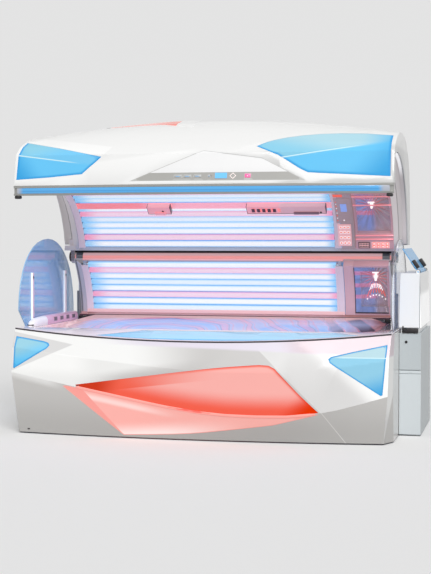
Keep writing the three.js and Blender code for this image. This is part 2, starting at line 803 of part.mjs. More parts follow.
// An arc-shaped wall along X, between two radii and two angles in degrees
function arcBand(cy, cz, r0, r1, from, to, x0, x1) {
  const steps = Math.max(2, Math.ceil((to - from) / ARC_STEP));
  const along = range(steps + 1).map((i) => rad(mix(from, to, i / steps)));
  const outer = along.map((a) => flat(cy + r1 * Math.cos(a), cz + r1 * Math.sin(a)));
  const inner = along.map((a) => flat(cy + r0 * Math.cos(a), cz + r0 * Math.sin(a))).reverse();
  return prismX([...outer, ...inner], x0, x1);
}

const wallBand = (r0, r1, from, to, x0, x1) => arcBand(wallY, DECK, r0, r1, from, to, x0, x1);
const canopyBand = (r0, r1, from, to, x0, x1) => arcBand(arcY, arcZ, r0, r1, from, to, x0, x1);

function arcTubes(cy, cz, radius, angles) {
  return angles.map((angle) => {
    const y = cy + radius * Math.cos(rad(angle));
    const z = cz + radius * Math.sin(rad(angle));
    return rodX(LAMP_RADIUS, lampLeft, lampRight, y, z, LAMP_SIDES);
  });
}

// A flared end panel: rows of x, radius and last angle swept round an arc
function flare(cy, cz, rows, from, wall) {
  const shares = range(13).map((i) => i / 12);
  const grid = (extra) => rows.map(([x, r, last]) => shares.map((t) => {
    const a = rad(mix(from, last, t));
    return vec(x, cy + (r + extra) * Math.cos(a), cz + (r + extra) * Math.sin(a));
  }));
  return thickSheet(grid(0), grid(wall));
}

const wallFrom = WALL_FIRST - WALL_EDGE;
const wallTo = WALL_LAST + WALL_TOP_EDGE;
const wallBack = wallReflector + REFLECTOR;

function makeLampWall() {
  const angles = range(WALL_LAMPS).map((i) => mix(WALL_FIRST, WALL_LAST, i / (WALL_LAMPS - 1)));
  const sheetBack = WALL_RADIUS + ACRYLIC;
  const right = consoleStart - FIT;
  const holders = [lampLeft, lampRight].map((x) => (
    wallBand(sheetBack + FIT, wallReflector - FIT, wallFrom, wallTo, x - HOLDER / 2, x + HOLDER / 2)
  ));
  place('wall_lamp_bank', join(...holders, ...arcTubes(wallY, DECK, wallLampArc, angles)), LAMP, 0.3);
  const reflector = wallBand(wallReflector, wallBack, wallFrom, wallTo, sheetLeft, right);
  place('wall_reflector', reflector, '#c9ccd0', 0.15, 0.8);
  const acrylic = wallBand(WALL_RADIUS, sheetBack, wallFrom, wallTo, sheetLeft, right);
  place('wall_acrylic', acrylic, '#dbe9f8', 0.05);
  const tannerSide = wallEnd - SKIN / 2 - FIT;
  const tanner = wallBand(WALL_RADIUS, wallBack, wallFrom, wallTo, consoleStart, tannerSide);
  const bowlFrom = wallFrom + SHOULDER_BOWL_START;
  const bowlTo = wallTo - SHOULDER_BOWL_END;
  const bowl = wallBand(WALL_RADIUS - OVERCUT, wallReflector - BOWL_WALL, bowlFrom, bowlTo,
    tannerStart + BOWL_EDGE, tannerSide - BOWL_EDGE);
  place('shoulder_tanner', cut(tanner, bowl), '#8f8086', 0.2, 0.4);
}

// Frame of the lamp wall: ledge and rear shelf behind the bench, end panels and the flanges that tie them
function makeWallFrame() {
  const low = wallFrom - WALL_FOOT;
  const ledgeTop = DECK + BENCH_REAR_RISE;
  const ledgeEnd = liftX - LIFT_RADIUS - LIFT_ROOM;
  const ledgeRear = BENCH_REAR + LEDGE_DEPTH;
  const height = [ledgeTop - LYING_SHEET, ledgeTop + LEDGE_RISE];
  const ledge = box(-ledgeEnd, ledgeEnd, BENCH_REAR + FIT, ledgeRear, ...height);
  const shelfEnd = frameX - FRAME_BAR / 2 - RUN;
  const shelf = box(-shelfEnd, shelfEnd, ledgeRear - OVERCUT, BASE_REAR - SKIN - FIT, ...height);
  const leftRows = [[-wallEnd, wallBack, wallTo], [sheetLeft - FIT, WALL_RADIUS, wallTo]];
  const leftPanel = flare(wallY, DECK, leftRows, low, SKIN);
  const rightFace = wallEnd - SKIN / 2;
  const rightPanel = wallBand(WALL_RADIUS, wallBack + SKIN, low, wallTo, rightFace, rightFace + SKIN);
  const flangeFace = wallBack + FIT;
  const spine = wallBand(flangeFace, flangeFace + SKIN, wallTo - WALL_FLANGE, wallTo, -wallEnd, wallEnd);
  const foot = wallBand(flangeFace, flangeFace + SKIN, low, wallFrom + WALL_FLANGE, -wallEnd, wallEnd);
  place('wall_frame', join(ledge, shelf, leftPanel, rightPanel, spine, foot), '#b9aeb2', 0.3, 0.3);
}

// Fluted rail with round pins at its ends
function makeHinge() {
  const flutes = range(RAIL_FLUTES).map((i) => {
    const a = (i / RAIL_FLUTES) * 2 * Math.PI;
    const y = HINGE_Y + RAIL_RADIUS * Math.cos(a);
    const z = hingeZ + RAIL_RADIUS * Math.sin(a);
    return rodX(FLUTE_RADIUS, -half, half, y, z, 6);
  });
  const rail = cut(rodX(RAIL_RADIUS, -bracketFace, bracketFace, HINGE_Y, hingeZ), ...flutes);
  const pin = rodX(PIN_RADIUS, -pinEnd, pinEnd, HINGE_Y, hingeZ);
  place('hinge_rail', join(rail, pin), '#c9a3a6', 0.3, 0.6);
}

// End fins, standing on the deck
function finOutline() {
  const low = DECK + FIT;
  const top = DECK + FIN_HEIGHT;
  const path = new THREE.Path();
  path.moveTo(FIN_FRONT + FIN_CUT, low);
  path.lineTo(FIN_FRONT, DECK + FIN_CUT_RISE);
  path.bezierCurveTo(FIN_FRONT + 8, top - 167, FIN_CROWN_Y - 310, top, FIN_CROWN_Y, top);
  path.bezierCurveTo(FIN_CROWN_Y + 270, top, FIN_REAR - 10, top - 167, FIN_REAR, DECK + FIN_CUT_RISE - 12);
  path.lineTo(FIN_REAR, low);
  return path.getPoints(9);
}

function makeFins() {
  const face = half - FIN_SET;
  for (const [x0, name] of [[-face - FIN_WALL, 'left'], [face, 'right']]) {
    place(`fin_${name}`, prismX(finOutline(), x0, x0 + FIN_WALL), '#8fc0ee', 0.05);
  }
}

// Air pod across the foot end: stations of y, width and height
function makeAirPod() {
  const stations = [[-430, 16, 14], [-400, 46, 34], [-330, 62, 50], [-120, 70, 58], [410, 72, 60]];
  const section = corners([
    [-0.5, 0], [0.5, 0], [0.5, 0.62], [0.34, 0.94], [0.1, 1], [-0.34, 0.94], [-0.5, 0.62],
  ]);
  const middle = POD_SET - half;
  const rings = stations.map(([y, width, height]) => (
    section.map((p) => vec(middle + p.x * width, y, DECK + FIT + p.y * height))
  ));
  const pod = ringLoft(rings, (p) => flat(p.x, p.z));
  const vents = range(POD_VENTS).map((i) => {
    const y = POD_VENT_START + i * POD_VENT_PITCH;
    return box(middle + POD_VENT_IN, middle + POD_SET, y - POD_VENT_HALF, y + POD_VENT_HALF,
      DECK + POD_VENT_LOW, DECK + POD_VENT_HIGH);
  });
  const nose = stations[0][0];
  const mouth = box(middle - POD_MOUTH_HALF, middle + POD_MOUTH_HALF, nose - OVERCUT, nose + POD_MOUTH_DEPTH,
    DECK + POD_MOUTH_LOW, DECK + POD_MOUTH_HIGH);
  place('foot_air_pod', cut(pod, ...vents, mouth), '#d9b4c8', 0.3);
}

const serviceFloor = FOOT_HEIGHT + FRAME_BAR + FIT;

// Ballasts on a tray that lies across the left half of the frame
function makeBallasts() {
  const top = serviceFloor + TRAY_WALL;
  const tray = box(-frameX, -TRAY_GAP, -TRAY_HALF, TRAY_HALF, serviceFloor, top);
  const ballasts = range(BALLASTS).map((i) => {
    const x = BALLAST_SET - frameX + i * BALLAST_PITCH;
    return box(x, x + BALLAST_WIDTH, -BALLAST_HALF, BALLAST_HALF, top - OVERCUT, top + BALLAST_HEIGHT);
  });
  place('ballast_bank', join(tray, ...ballasts), '#55585c', 0.5, 0.4);
}

// Cooling fan: housing with a spoked shaft on rails, and the rotor round the shaft
function makeFan() {
  const floor = serviceFloor;
  const size = FAN_TUNNEL + FAN_WALL;
  const shell = box(FAN_X - size, FAN_X + size, FAN_Y - size, FAN_Y + size, floor, floor + FAN_DEPTH);
  const rails = box(TRAY_GAP, frameX, FAN_Y - FAN_RAIL_HALF, FAN_Y + FAN_RAIL_HALF, floor, floor + FAN_SPOKE);
  const tunnel = rodZ(FAN_TUNNEL, FAN_X, FAN_Y, floor - OVERCUT, floor + FAN_DEPTH + OVERCUT, 28);
  const reach = FAN_TUNNEL + FAN_WALL / 2;
  const spokes = [0, 1].map((i) => (
    box(-reach, reach, -FAN_SPOKE_HALF, FAN_SPOKE_HALF, floor, floor + FAN_SPOKE)
      .rotateZ((i * Math.PI) / 2).translate(FAN_X, FAN_Y, 0)
  ));
  const boss = rodZ(FAN_BOSS, FAN_X, FAN_Y, floor, floor + FAN_SPOKE);
  const shaft = rodZ(FAN_SHAFT, FAN_X, FAN_Y, floor, floor + FAN_SHAFT_TOP, 16);
  place('fan_housing', join(cut(join(shell, rails), tunnel), ...spokes, boss, shaft), '#3a3c40', 0.5);
  const hubLow = floor + FAN_SPOKE + FIT;
  const hub = rodZ(FAN_HUB, FAN_X, FAN_Y, hubLow, floor + FAN_HUB_TOP);
  const blades = range(FAN_BLADES).map((i) => {
    const blade = box(FAN_HUB / 2, FAN_TUNNEL - BLADE_GAP, -BLADE_WALL / 2, BLADE_WALL / 2, -BLADE_CHORD / 2,
      BLADE_CHORD / 2);
    const turn = (i / FAN_BLADES) * 2 * Math.PI;
    return blade.rotateX(rad(BLADE_PITCH)).rotateZ(turn)
      .translate(FAN_X, FAN_Y, (hubLow + floor + FAN_HUB_TOP) / 2);
  });
  const bore = rodZ(FAN_SHAFT + RUN, FAN_X, FAN_Y, floor, floor + FAN_SHAFT_TOP + RUN, 16);
  place('fan_rotor', cut(join(hub, ...blades), bore), '#25272a', 0.4);
}

// Lift actuators: the body stands on the base, the rod carries the lever pin of the canopy
function makeLifts() {
  for (const [side, name] of [[-1, 'left'], [1, 'right']]) {
    const x = side * liftX;
    const tube = rodZ(LIFT_RADIUS, x, leverY, LIFT_FOOT, liftTop);
    const tie = sideBox(side, frameX + FRAME_BAR / 2 + FIT, liftX, leverY, frameRear + FRAME_BAR,
      LIFT_FOOT, LIFT_FOOT + LIFT_TIE);
    const bore = rodZ(ROD_RADIUS + RUN / 2, x, leverY, LIFT_FOOT + LIFT_PLUG, liftTop + OVERCUT);
    place(`lift_body_${name}`, cut(join(tube, tie), bore), DARK, 0.4, 0.3);
    const rod = rodZ(ROD_RADIUS, x, leverY, LIFT_FOOT + ROD_START, leverZ - LIFT_EYE_RIM + ROD_SINK);
    const eye = rodX(LIFT_EYE_RIM, x - LIFT_EYE_WALL / 2, x + LIFT_EYE_WALL / 2, leverY, leverZ);
    const eyeBore = rodX(LIFT_EYE, x - LIFT_EYE_WALL, x + LIFT_EYE_WALL, leverY, leverZ);
    place(`lift_rod_${name}`, cut(join(rod, eye), eyeBore), '#c5c8cc', 0.15, 0.9);
  }
}

const doorBack = CABINET_FRONT - FIT;
const doorFront = doorBack - DOOR_WALL;

// Service cabinet with two bays, and what stands in them
function makeCabinet() {
  const [inLeft, inRight, inRear] = [cabinetLeft + SKIN, cabinetRight - SKIN, BASE_REAR - SKIN];
  const mouth = CABINET_FRONT - OVERCUT;
  const shell = box(cabinetLeft, cabinetRight, CABINET_FRONT, BASE_REAR, 0, cabinetTop);
  const lower = box(inLeft, inRight, mouth, inRear, SKIN, cabinetShelf);
  const shelfTop = cabinetShelf + SKIN;
  const upper = box(inLeft, inRight, mouth, inRear, shelfTop, cabinetTop - SKIN);
  place('cabinet_body', cut(shell, lower, upper), '#d5dcdf', 0.35);
  const unitFront = CABINET_FRONT + UNIT_SET;
  const unitLow = SKIN + FIT;
  const unitTop = cabinetShelf - UNIT_ROOM;
  const unit = box(inLeft + FIT, inRight - FIT, unitFront, inRear - FIT, unitLow, unitTop);
  const groovePitch = (unitTop - 2 * UNIT_GROOVE_START - UNIT_GROOVE) / (UNIT_GROOVES - 1);
  const grooves = range(UNIT_GROOVES).map((i) => {
    const z = UNIT_GROOVE_START + i * groovePitch;
    return box(cabinetLeft + UNIT_GROOVE_EDGE, cabinetRight - UNIT_GROOVE_EDGE, unitFront - OVERCUT,
      unitFront + UNIT_GROOVE_DEPTH, z, z + UNIT_GROOVE);
  });
  place('cooling_unit', cut(unit, ...grooves), '#6d7276', 0.5, 0.3);
  const canisterLow = shelfTop + FIT;
  const canister = rodZ(CANISTER_RADIUS, (cabinetLeft + cabinetRight) / 2, inRear - CANISTER_SET, canisterLow,
    canisterLow + CANISTER_HEIGHT, 20);
  place('fragrance_canister', canister, '#e8e6e0', 0.3);
}

function makeDoors() {
  const doorLeft = cabinetLeft + DOOR_SIDE;
  const gripTop = cabinetShelf - DOOR_GRIP_DROP + DOOR_GRIP_HEIGHT;
  const grip = box(cabinetLeft + DOOR_GRIP_EDGE, cabinetRight - DOOR_GRIP_EDGE, doorFront - OVERCUT,
    doorFront + DOOR_GRIP_DEPTH, cabinetShelf - DOOR_GRIP_DROP, gripTop);
  const lowerDoor = box(doorLeft, cabinetRight, doorFront, doorBack, SKIN, cabinetShelf);
  place('cabinet_lower_door', cut(lowerDoor, grip), '#d9e0e3', 0.3);
  const lockX = cabinetLeft + LOCK_SET;
  const lockZ = cabinetTop - LOCK_DROP;
  const lockBore = rodY(LOCK_RADIUS, lockX, doorFront - OVERCUT, doorBack + OVERCUT, lockZ);
  const upperDoor = box(doorLeft, cabinetRight, doorFront, doorBack, cabinetShelf + DOOR_GAP, cabinetTop);
  place('cabinet_upper_door', cut(upperDoor, lockBore), '#d9e0e3', 0.3);
  const barrel = rodY(LOCK_RADIUS - RUN / 2, lockX, doorFront - LOCK_PROUD, doorBack, lockZ);
  const slotFront = doorFront - LOCK_PROUD;
  const keySlot = box(lockX - LOCK_SLOT / 2, lockX + LOCK_SLOT / 2, slotFront - OVERCUT,
    slotFront + LOCK_PROUD, lockZ - LOCK_SLOT_HALF, lockZ + LOCK_SLOT_HALF);
  place('door_lock', cut(barrel, keySlot), DARK, 0.3, 0.7);
}

const towerRear = BASE_REAR - TOWER_REAR_SET;
const lidHingeX = cabinetRight - TOWER_TAPER - LID_HINGE_SET;
const lidHingeZ = towerTop + LID_HINGE_RISE;
const knuckleStarts = [doorFront + KNUCKLE_SET, towerRear - KNUCKLE_SET - KNUCKLE];

function makeTower() {
  const level = (z, taper, wall) => {
    const left = cabinetLeft + taper / 2 + wall;
    const right = cabinetRight - taper - wall;
    const front = doorFront + taper + wall;
    const back = towerRear - wall;
    return [vec(left, front, z), vec(right, front, z), vec(right, back, z), vec(left, back, z)];
  };
  const plan = (p) => flat(p.x, p.y);
  const base = cabinetTop + FIT;
  const neckTop = cabinetTop + TOWER_NECK;
  const step = neckTop + TOWER_STEP;
  const hood = ringLoft([
    level(base, TOWER_NECK_IN, 0), level(neckTop, TOWER_NECK_IN, 0), level(step, 0, 0),
    level(towerTop, TOWER_TAPER, 0),
  ], plan);
  const hollow = ringLoft([
    level(base - OVERCUT, TOWER_NECK_IN, SKIN), level(step, TOWER_NECK_IN, SKIN),
    level(towerTop - SKIN, TOWER_TAPER, SKIN),
  ], plan);
  const slotFront = doorFront + TOWER_SLOT_SET;
  const slot = box(cabinetRight - TOWER_TAPER - TOWER_SLOT_DEPTH, cabinetRight + OVERCUT, slotFront,
    slotFront + TOWER_SLOT, neckTop + TOWER_SLOT, towerTop + OVERCUT);
  const knuckles = knuckleStarts.map((y) => (
    rodY(LID_HINGE_RISE + KNUCKLE_SINK, lidHingeX, y, y + KNUCKLE, lidHingeZ)
  ));
  const pinBore = rodY(LID_HINGE_PIN, lidHingeX, doorFront, towerRear, lidHingeZ);
  place('tower_hood', cut(join(cut(hood, hollow, slot), ...knuckles), pinBore), '#fafafa', 0.2);
}

function makeTowerLid() {
  const [first, second] = knuckleStarts;
  const start = first + KNUCKLE + RUN;
  const end = second - RUN;
  const leaf = (near, far, y0, y1) => {
    const lying = box(near, far, y0, y1, -LID_WALL / 2, LID_WALL / 2);
    return lying.rotateY(-rad(LID_SLOPE)).translate(lidHingeX, 0, lidHingeZ);
  };
  const plate = leaf(LID_START, LID_REACH, first, second + KNUCKLE);
  const web = leaf(0, LID_START + LID_WALL, start, end);
  const knuckle = rodY(LID_HINGE_RISE - FIT, lidHingeX, start, end, lidHingeZ);
  const pin = rodY(LID_HINGE_PIN - RUN / 2, lidHingeX, first, second + KNUCKLE, lidHingeZ);
  const room = knuckleStarts.map((y) => (
    rodY(LID_HINGE_RISE + KNUCKLE_SINK + RUN, lidHingeX, y - RUN, y + KNUCKLE + RUN, lidHingeZ)
  ));
  place('tower_lid', join(cut(join(plate, web), ...room), knuckle, pin), BLUE, 0.1);
}

// Canopy profile at a share of the half length: from the front edge over the crown to the rear edge
function canopyProfile(s) {
  const e = s * s;
  const drop = CROWN_DROP * e;
  const front = canopyFront + CANOPY_BOW * e;
  const lean = front + FACE_LEAN;
  const shoulderY = canopyFront + SHOULDER_BACK;
  const crown = canopyCrown - drop;
  return [
    [front, canopyEdge],
    [front + FACE_LEAN * FACE_BEND, mix(canopyEdge, canopyCrease, 0.5)],
    [lean, canopyCrease + 10 * e],
    [mix(lean, shoulderY, 0.5), mix(canopyCrease, canopyShoulder, 0.55) - drop * 0.1],
    [shoulderY + 45 * e, canopyShoulder - drop * 0.23],
    [crownY - 170, mix(canopyShoulder, canopyCrown, 0.7) - drop * 0.75],
    [crownY, crown],
    [crownY + 170, crown - 14],
    [crownY + 320, crown - 70 + 20 * e],
    [crownY + 440, crown - 165 + 40 * e],
    [canopyRear - 70, canopyCrown - 308 - drop * 0.2],
    [canopyRear - 20, rearEdge + 315],
    [canopyRear - 4, rearEdge + 155],
    [canopyRear - 8, rearEdge],
  ].map(([y, z]) => flat(y, z));
}

// The arched opening in each end wall of the canopy, row by row with the profile
function archContour(count) {
  const limit = Math.PI - Math.acos((arcY - archFront) / archRadius);
  const low = Math.asin((rearEdge - arcZ) / archRadius);
  const foot = [flat(archFront, canopyEdge), flat(archFront, mix(canopyEdge, canopyCrease, 0.5))];
  const arch = range(count - foot.length).map((i) => {
    const a = mix(limit, low, i / (count - foot.length - 1));
    return flat(arcY + archRadius * Math.cos(a), arcZ + archRadius * Math.sin(a));
  });
  return [...foot, ...arch];
}

function canopySheet() {
  const core = flat(crownY, mix(canopyEdge, rearEdge, 0.22));
  const shares = range(CANOPY_STEPS + 1).map((i) => (2 * i) / CANOPY_STEPS - 1);
  const rows = canopyProfile(0).length;
  const inner = (p, row, wall) => {
    if (row === 0 || row === rows - 1) {
      return flat(p.x + (row === 0 ? wall : -wall), p.y);
    }
    return p.clone().addScaledVector(core.clone().sub(p).normalize(), wall);
  };
  const grid = (wall) => range(rows).map((row) => {
    const arch = archContour(rows)[row];
    const line = shares.map((s) => {
      const p = inner(canopyProfile(s)[row], row, wall);
      return vec(s * (half - wall), p.x, p.y);
    });
    const end = (side) => vec(side * (half - wall), arch.x, arch.y);
    return [end(-1), ...line, end(1)];
  });
  return thickSheet(grid(0), grid(SKIN));
}

// Lens and fascia outlines on the canopy front, in X and Z
const canopyLensLeft = fromEnd(-1, canopyEdge, [
  [20, 284], [300, 234], [588, 176], [552, 142], [521, 117], [466, 68], [240, 50], [16, 38],
]);
const canopyLensRight = fromEnd(1, canopyEdge, [
  [838, 230], [793, 252], [741, 270], [668, 287], [582, 300], [466, 310], [340, 314], [190, 311], [26, 296],
  [22, 214], [20, 38], [510, 64], [560, 88], [620, 126], [697, 173],
]);
const fasciaOutline = corners([[-418, 20], [41, 206], [412, 155], [676, 18]])
  .map((p) => p.add(flat(0, canopyEdge)));
const accentOutline = corners([[-696, -66], [-267, -24], [-205, -40], [-263, -112], [-480, -96]])
  .map((p) => p.add(flat(0, crownY)));

// Front keys: name, x, width and height
const frontKeys = [
  ['key_left', -107, 46, 16], ['key_middle', -47, 46, 16], ['key_right', 16, 46, 16],
  ['key_round', 89, 15, 15], ['key_start', 327, 36, 24],
];
const faceTilt = Math.atan2(FACE_LEAN * FACE_BEND, FACE_HEIGHT / 2);

// A key block on the front face: its front stands proud of the strip
function keyBlock([, x, width, height], sideGap, endGap) {
  const share = x / half;
  const y = canopyFront + CANOPY_BOW * share * share + KEY_RISE * Math.tan(faceTilt);
  const depth = KEY_DEPTH + KEY_PROUD + 2 * endGap;
  const w = width + 2 * sideGap;
  const h = height + 2 * sideGap;
  const block = width === height
    ? new THREE.CylinderGeometry(w / 2, w / 2, depth, 20)
    : new THREE.BoxGeometry(w, depth, h);
  const seated = block.translate(0, (KEY_DEPTH - KEY_PROUD) / 2, 0).rotateX(-faceTilt);
  return seated.translate(x, y, canopyEdge + KEY_RISE);
}

function makeCanopyShell() {
  const layer = canopySheet();
  const reach = [canopyFront - SKIN, crownY - 150];
  const topReach = [canopyShoulder, canopyCrown + SKIN];
  const lenses = [['canopy_lens_left', canopyLensLeft], ['canopy_lens_right', canopyLensRight]];
  const outlines = [canopyLensLeft, canopyLensRight, fasciaOutline];
  const windows = outlines.map((outline) => prismY(outline, ...reach));
  place('canopy_shell', cut(layer, ...windows, prismZ(accentOutline, ...topReach)), WHITE, 0.25);
  for (const [name, outline] of lenses) {
    place(name, common(layer, prismY(inset(outline, LENS_GAP), ...reach)), BLUE, 0.25);
  }
  const pockets = frontKeys.map((key) => keyBlock(key, RUN / 2, KEY_TRAVEL));
  const fascia = common(layer, prismY(inset(fasciaOutline, LENS_GAP), ...reach));
  place('control_fascia', cut(fascia, ...pockets), '#d8d8d5', 0.25);
  place('canopy_accent', common(layer, prismZ(inset(accentOutline, LENS_GAP), ...topReach)), RED, 0.25);
  for (const key of frontKeys) {
    place(key[0], keyBlock(key, 0, 0), key[0] === 'key_start' ? '#f06fa8' : '#c3c8ca', 0.3);
  }
}

// A bar that follows the bow of the canopy's front, from an outline in Y and Z
function bowedBar(outline, end) {
  const rings = range(CANOPY_STEPS + 1).map((i) => {
    const x = mix(-end, end, i / CANOPY_STEPS);
    const front = canopyFront + CANOPY_BOW * (x / half) ** 2;
    return outline.map(([y, z]) => vec(x, front + y, z));
  });
  return ringLoft(rings, (p) => flat(p.y, p.z));
}

const barTop = canopyEdge - FIT;
const barLow = canopyEdge - LIGHT_BAR_DROP;

// Front light profile: an aluminium bar with a groove for the light lens
function makeLightBar() {
  const high = barTop - GROOVE_TOP;
  const low = barLow + GROOVE_LOW;
  place('light_profile', bowedBar([
    [0, barTop], [0, high], [LIGHT_GROOVE, high], [LIGHT_GROOVE, low], [0, low],
    [BEAM_LOW, barLow], [LIGHT_BAR_DEPTH, barLow], [LIGHT_BAR_DEPTH, barTop],
  ], half), ALU, 0.35, 0.7);
  const back = LIGHT_GROOVE - FIT;
  const lens = bowedBar([
    [LENS_SET, high - FIT], [LENS_SET, low + FIT], [back, low + FIT], [back, high - FIT],
  ], half - LENS_END);
  place('light_lens', lens, '#4c9fd8', 0.1);
}

// Hinge arm of the canopy with its forked lift lever, drawn from the hinge
function hingeArm(x) {
  const pinY = HINGE_Y + LEVER * Math.cos(rad(LEVER_ANGLE));
  const fromHinge = (points) => points.map(([y, z]) => flat(HINGE_Y + y, hingeZ + z));
  const outline = [
    ...fromHinge([[-30, -10], [12, -40]]),
    ...corners([[pinY + 4, leverZ - 16], [pinY + 16, leverZ + 8]]),
    ...fromHinge([[40, 34], [-30, 130], [-80, 120]]),
  ];
  const arm = prismX(outline, x, x + ARM_WALL);
  const eye = rodX(EYE_RADIUS, x, x + ARM_WALL, HINGE_Y, hingeZ);
  const middle = x + ARM_WALL / 2;
  const gap = ROD_RADIUS + FORK_GAP;
  const fork = box(middle - gap, middle + gap, leverY - FORK_REACH, leverY + FORK_REACH, leverZ - FORK_REACH,
    leverZ + FORK_REACH);
  const bore = rodX(PIN_RADIUS + RUN, x - OVERCUT, x + ARM_WALL + OVERCUT, HINGE_Y, hingeZ);
  const pin = rodX(LIFT_PIN, x + OVERCUT, x + ARM_WALL - OVERCUT, pinY, leverZ);
  return join(cut(join(arm, eye), fork, bore), pin);
}

// Canopy frame: flared end arches, front and rear beams and the hinge arms
function makeCanopyFrame() {
  const inside = half - SKIN - FIT;
  const big = archRadius - SKIN * 1.5;
  const endArch = (side, near) => flare(arcY, arcZ, [
    [side * inside, big, ARCH_END], [side * (inside - ARCH_FLANGE), big - SKIN, ARCH_END],
    [near, canopyRadius, arcTo],
  ], archFrom, SKIN);
  const arches = [endArch(-1, sheetLeft - FIT), endArch(1, tannerEnd + FIT)];
  const arms = [-armFace - ARM_WALL, armFace].map(hingeArm);
  const lip = prismX(corners([[-102, 44], [-52, 44], [-52, 78], [-93, 78]])
    .map((p) => p.add(flat(HINGE_Y, hingeZ))), -beamHalf, beamHalf);
  const start = LIGHT_BAR_DEPTH + RUN;
  const beamBack = start + BEAM_DEPTH;
  const [beamLow, beamTop] = [barLow + BEAM_LOW, barTop - BEAM_TOP];
  const beam = bowedBar([
    [start, beamLow], [beamBack, beamLow], [beamBack, beamTop], [start, beamTop],
  ], beamHalf);
  const tabFront = canopyFront + CANOPY_BOW + start;
  const tabs = [sheetLeft - TAB_WIDTH - FIT - BEAM_LOW, tannerEnd + FIT].map((x) => (
    box(x, x + TAB_WIDTH, tabFront, archFront, barLow + BEAM_TOP, beamTop)
  ));
  place('canopy_frame', join(...arches, ...arms, lip, beam, ...tabs), '#b8a9ac', 0.35, 0.5);
}

const arcFrom = archFrom + ARC_START;

function makeCanopyLamps() {
  const all = range(CANOPY_LAMPS).map((i) => mix(arcFirst, arcLast, i / (CANOPY_LAMPS - 1)));
  const angles = all.filter((_, i) => i !== AIR_GAP_LAMP);
  const sheetBack = canopyRadius + ACRYLIC;
  const right = consoleStart - FIT;
  const holders = [lampLeft, lampRight].map((x) => (
    canopyBand(sheetBack + FIT, arcReflector - FIT, arcFrom, arcTo, x - HOLDER / 2, x + HOLDER / 2)
  ));
  place('canopy_lamp_bank', join(...holders, ...arcTubes(arcY, arcZ, arcLamp, angles)), LAMP, 0.3);
  const reflector = canopyBand(arcReflector, arcBack, arcFrom, arcTo, sheetLeft, right);
  place('canopy_reflector', reflector, '#c9ccd0', 0.15, 0.8);
  const acrylic = canopyBand(canopyRadius, sheetBack, arcFrom, arcTo, sheetLeft, right);
  place('canopy_acrylic', acrylic, '#e4eefa', 0.05);
}

// Pieces that point from the canopy lamps to the middle of the arc
const towardsArc = (geometry, angle, x) => geometry.rotateX(rad(angle)).translate(x, arcY, arcZ);

function radialRod(angle, x, offset, radius, r0, r1) {
  const rod = new THREE.CylinderGeometry(radius, radius, r1 - r0, 20).translate(0, (r0 + r1) / 2, offset);
  return towardsArc(rod, angle, x);
}

const radialBox = (angle, x0, x1, r0, r1, low, high) => towardsArc(box(x0, x1, r0, r1, low, high), angle, 0);

function makeConsole() {
  const face = canopyRadius - CONSOLE_PROUD;
  const keyAngle = arcFrom + CONSOLE_KEY_TURN;
  const keyX = (consoleStart + consoleEnd) / 2 + CONSOLE_KEY_SHIFT;
  const keyFront = face - KEY_PROUD;
  const keyBack = keyFront + CONSOLE_KEY_DEPTH;
  const pocket = radialRod(keyAngle, keyX, 0, CONSOLE_KEY_RADIUS + RUN / 2, face - CONSOLE_PROUD,
    keyBack + KEY_TRAVEL);
  const body = canopyBand(face, arcBack, arcFrom, arcTo, consoleStart, consoleEnd);
  place('console', cut(body, pocket), '#a08f90', 0.4);
  const key = radialRod(keyAngle, keyX, 0, CONSOLE_KEY_RADIUS, keyFront, keyBack);
  place('console_key', key, '#d8cdd0', 0.3);
}

// Face tanner beside the console, with the bowl of its lamp
function makeFaceTanner() {
  const tanner = canopyBand(canopyRadius, arcBack, arcFrom, arcTo, tannerStart, tannerEnd);
  const bowlFrom = arcFrom + FACE_BOWL_START;
  const bowlTo = bowlFrom + FACE_BOWL_SPAN;
  const bowl = canopyBand(canopyRadius - OVERCUT, arcReflector - BOWL_WALL, bowlFrom, bowlTo,
    tannerStart + BOWL_EDGE, tannerEnd - BOWL_EDGE);
  place('face_tanner', cut(tanner, bowl), '#8f8086', 0.2, 0.4);
}

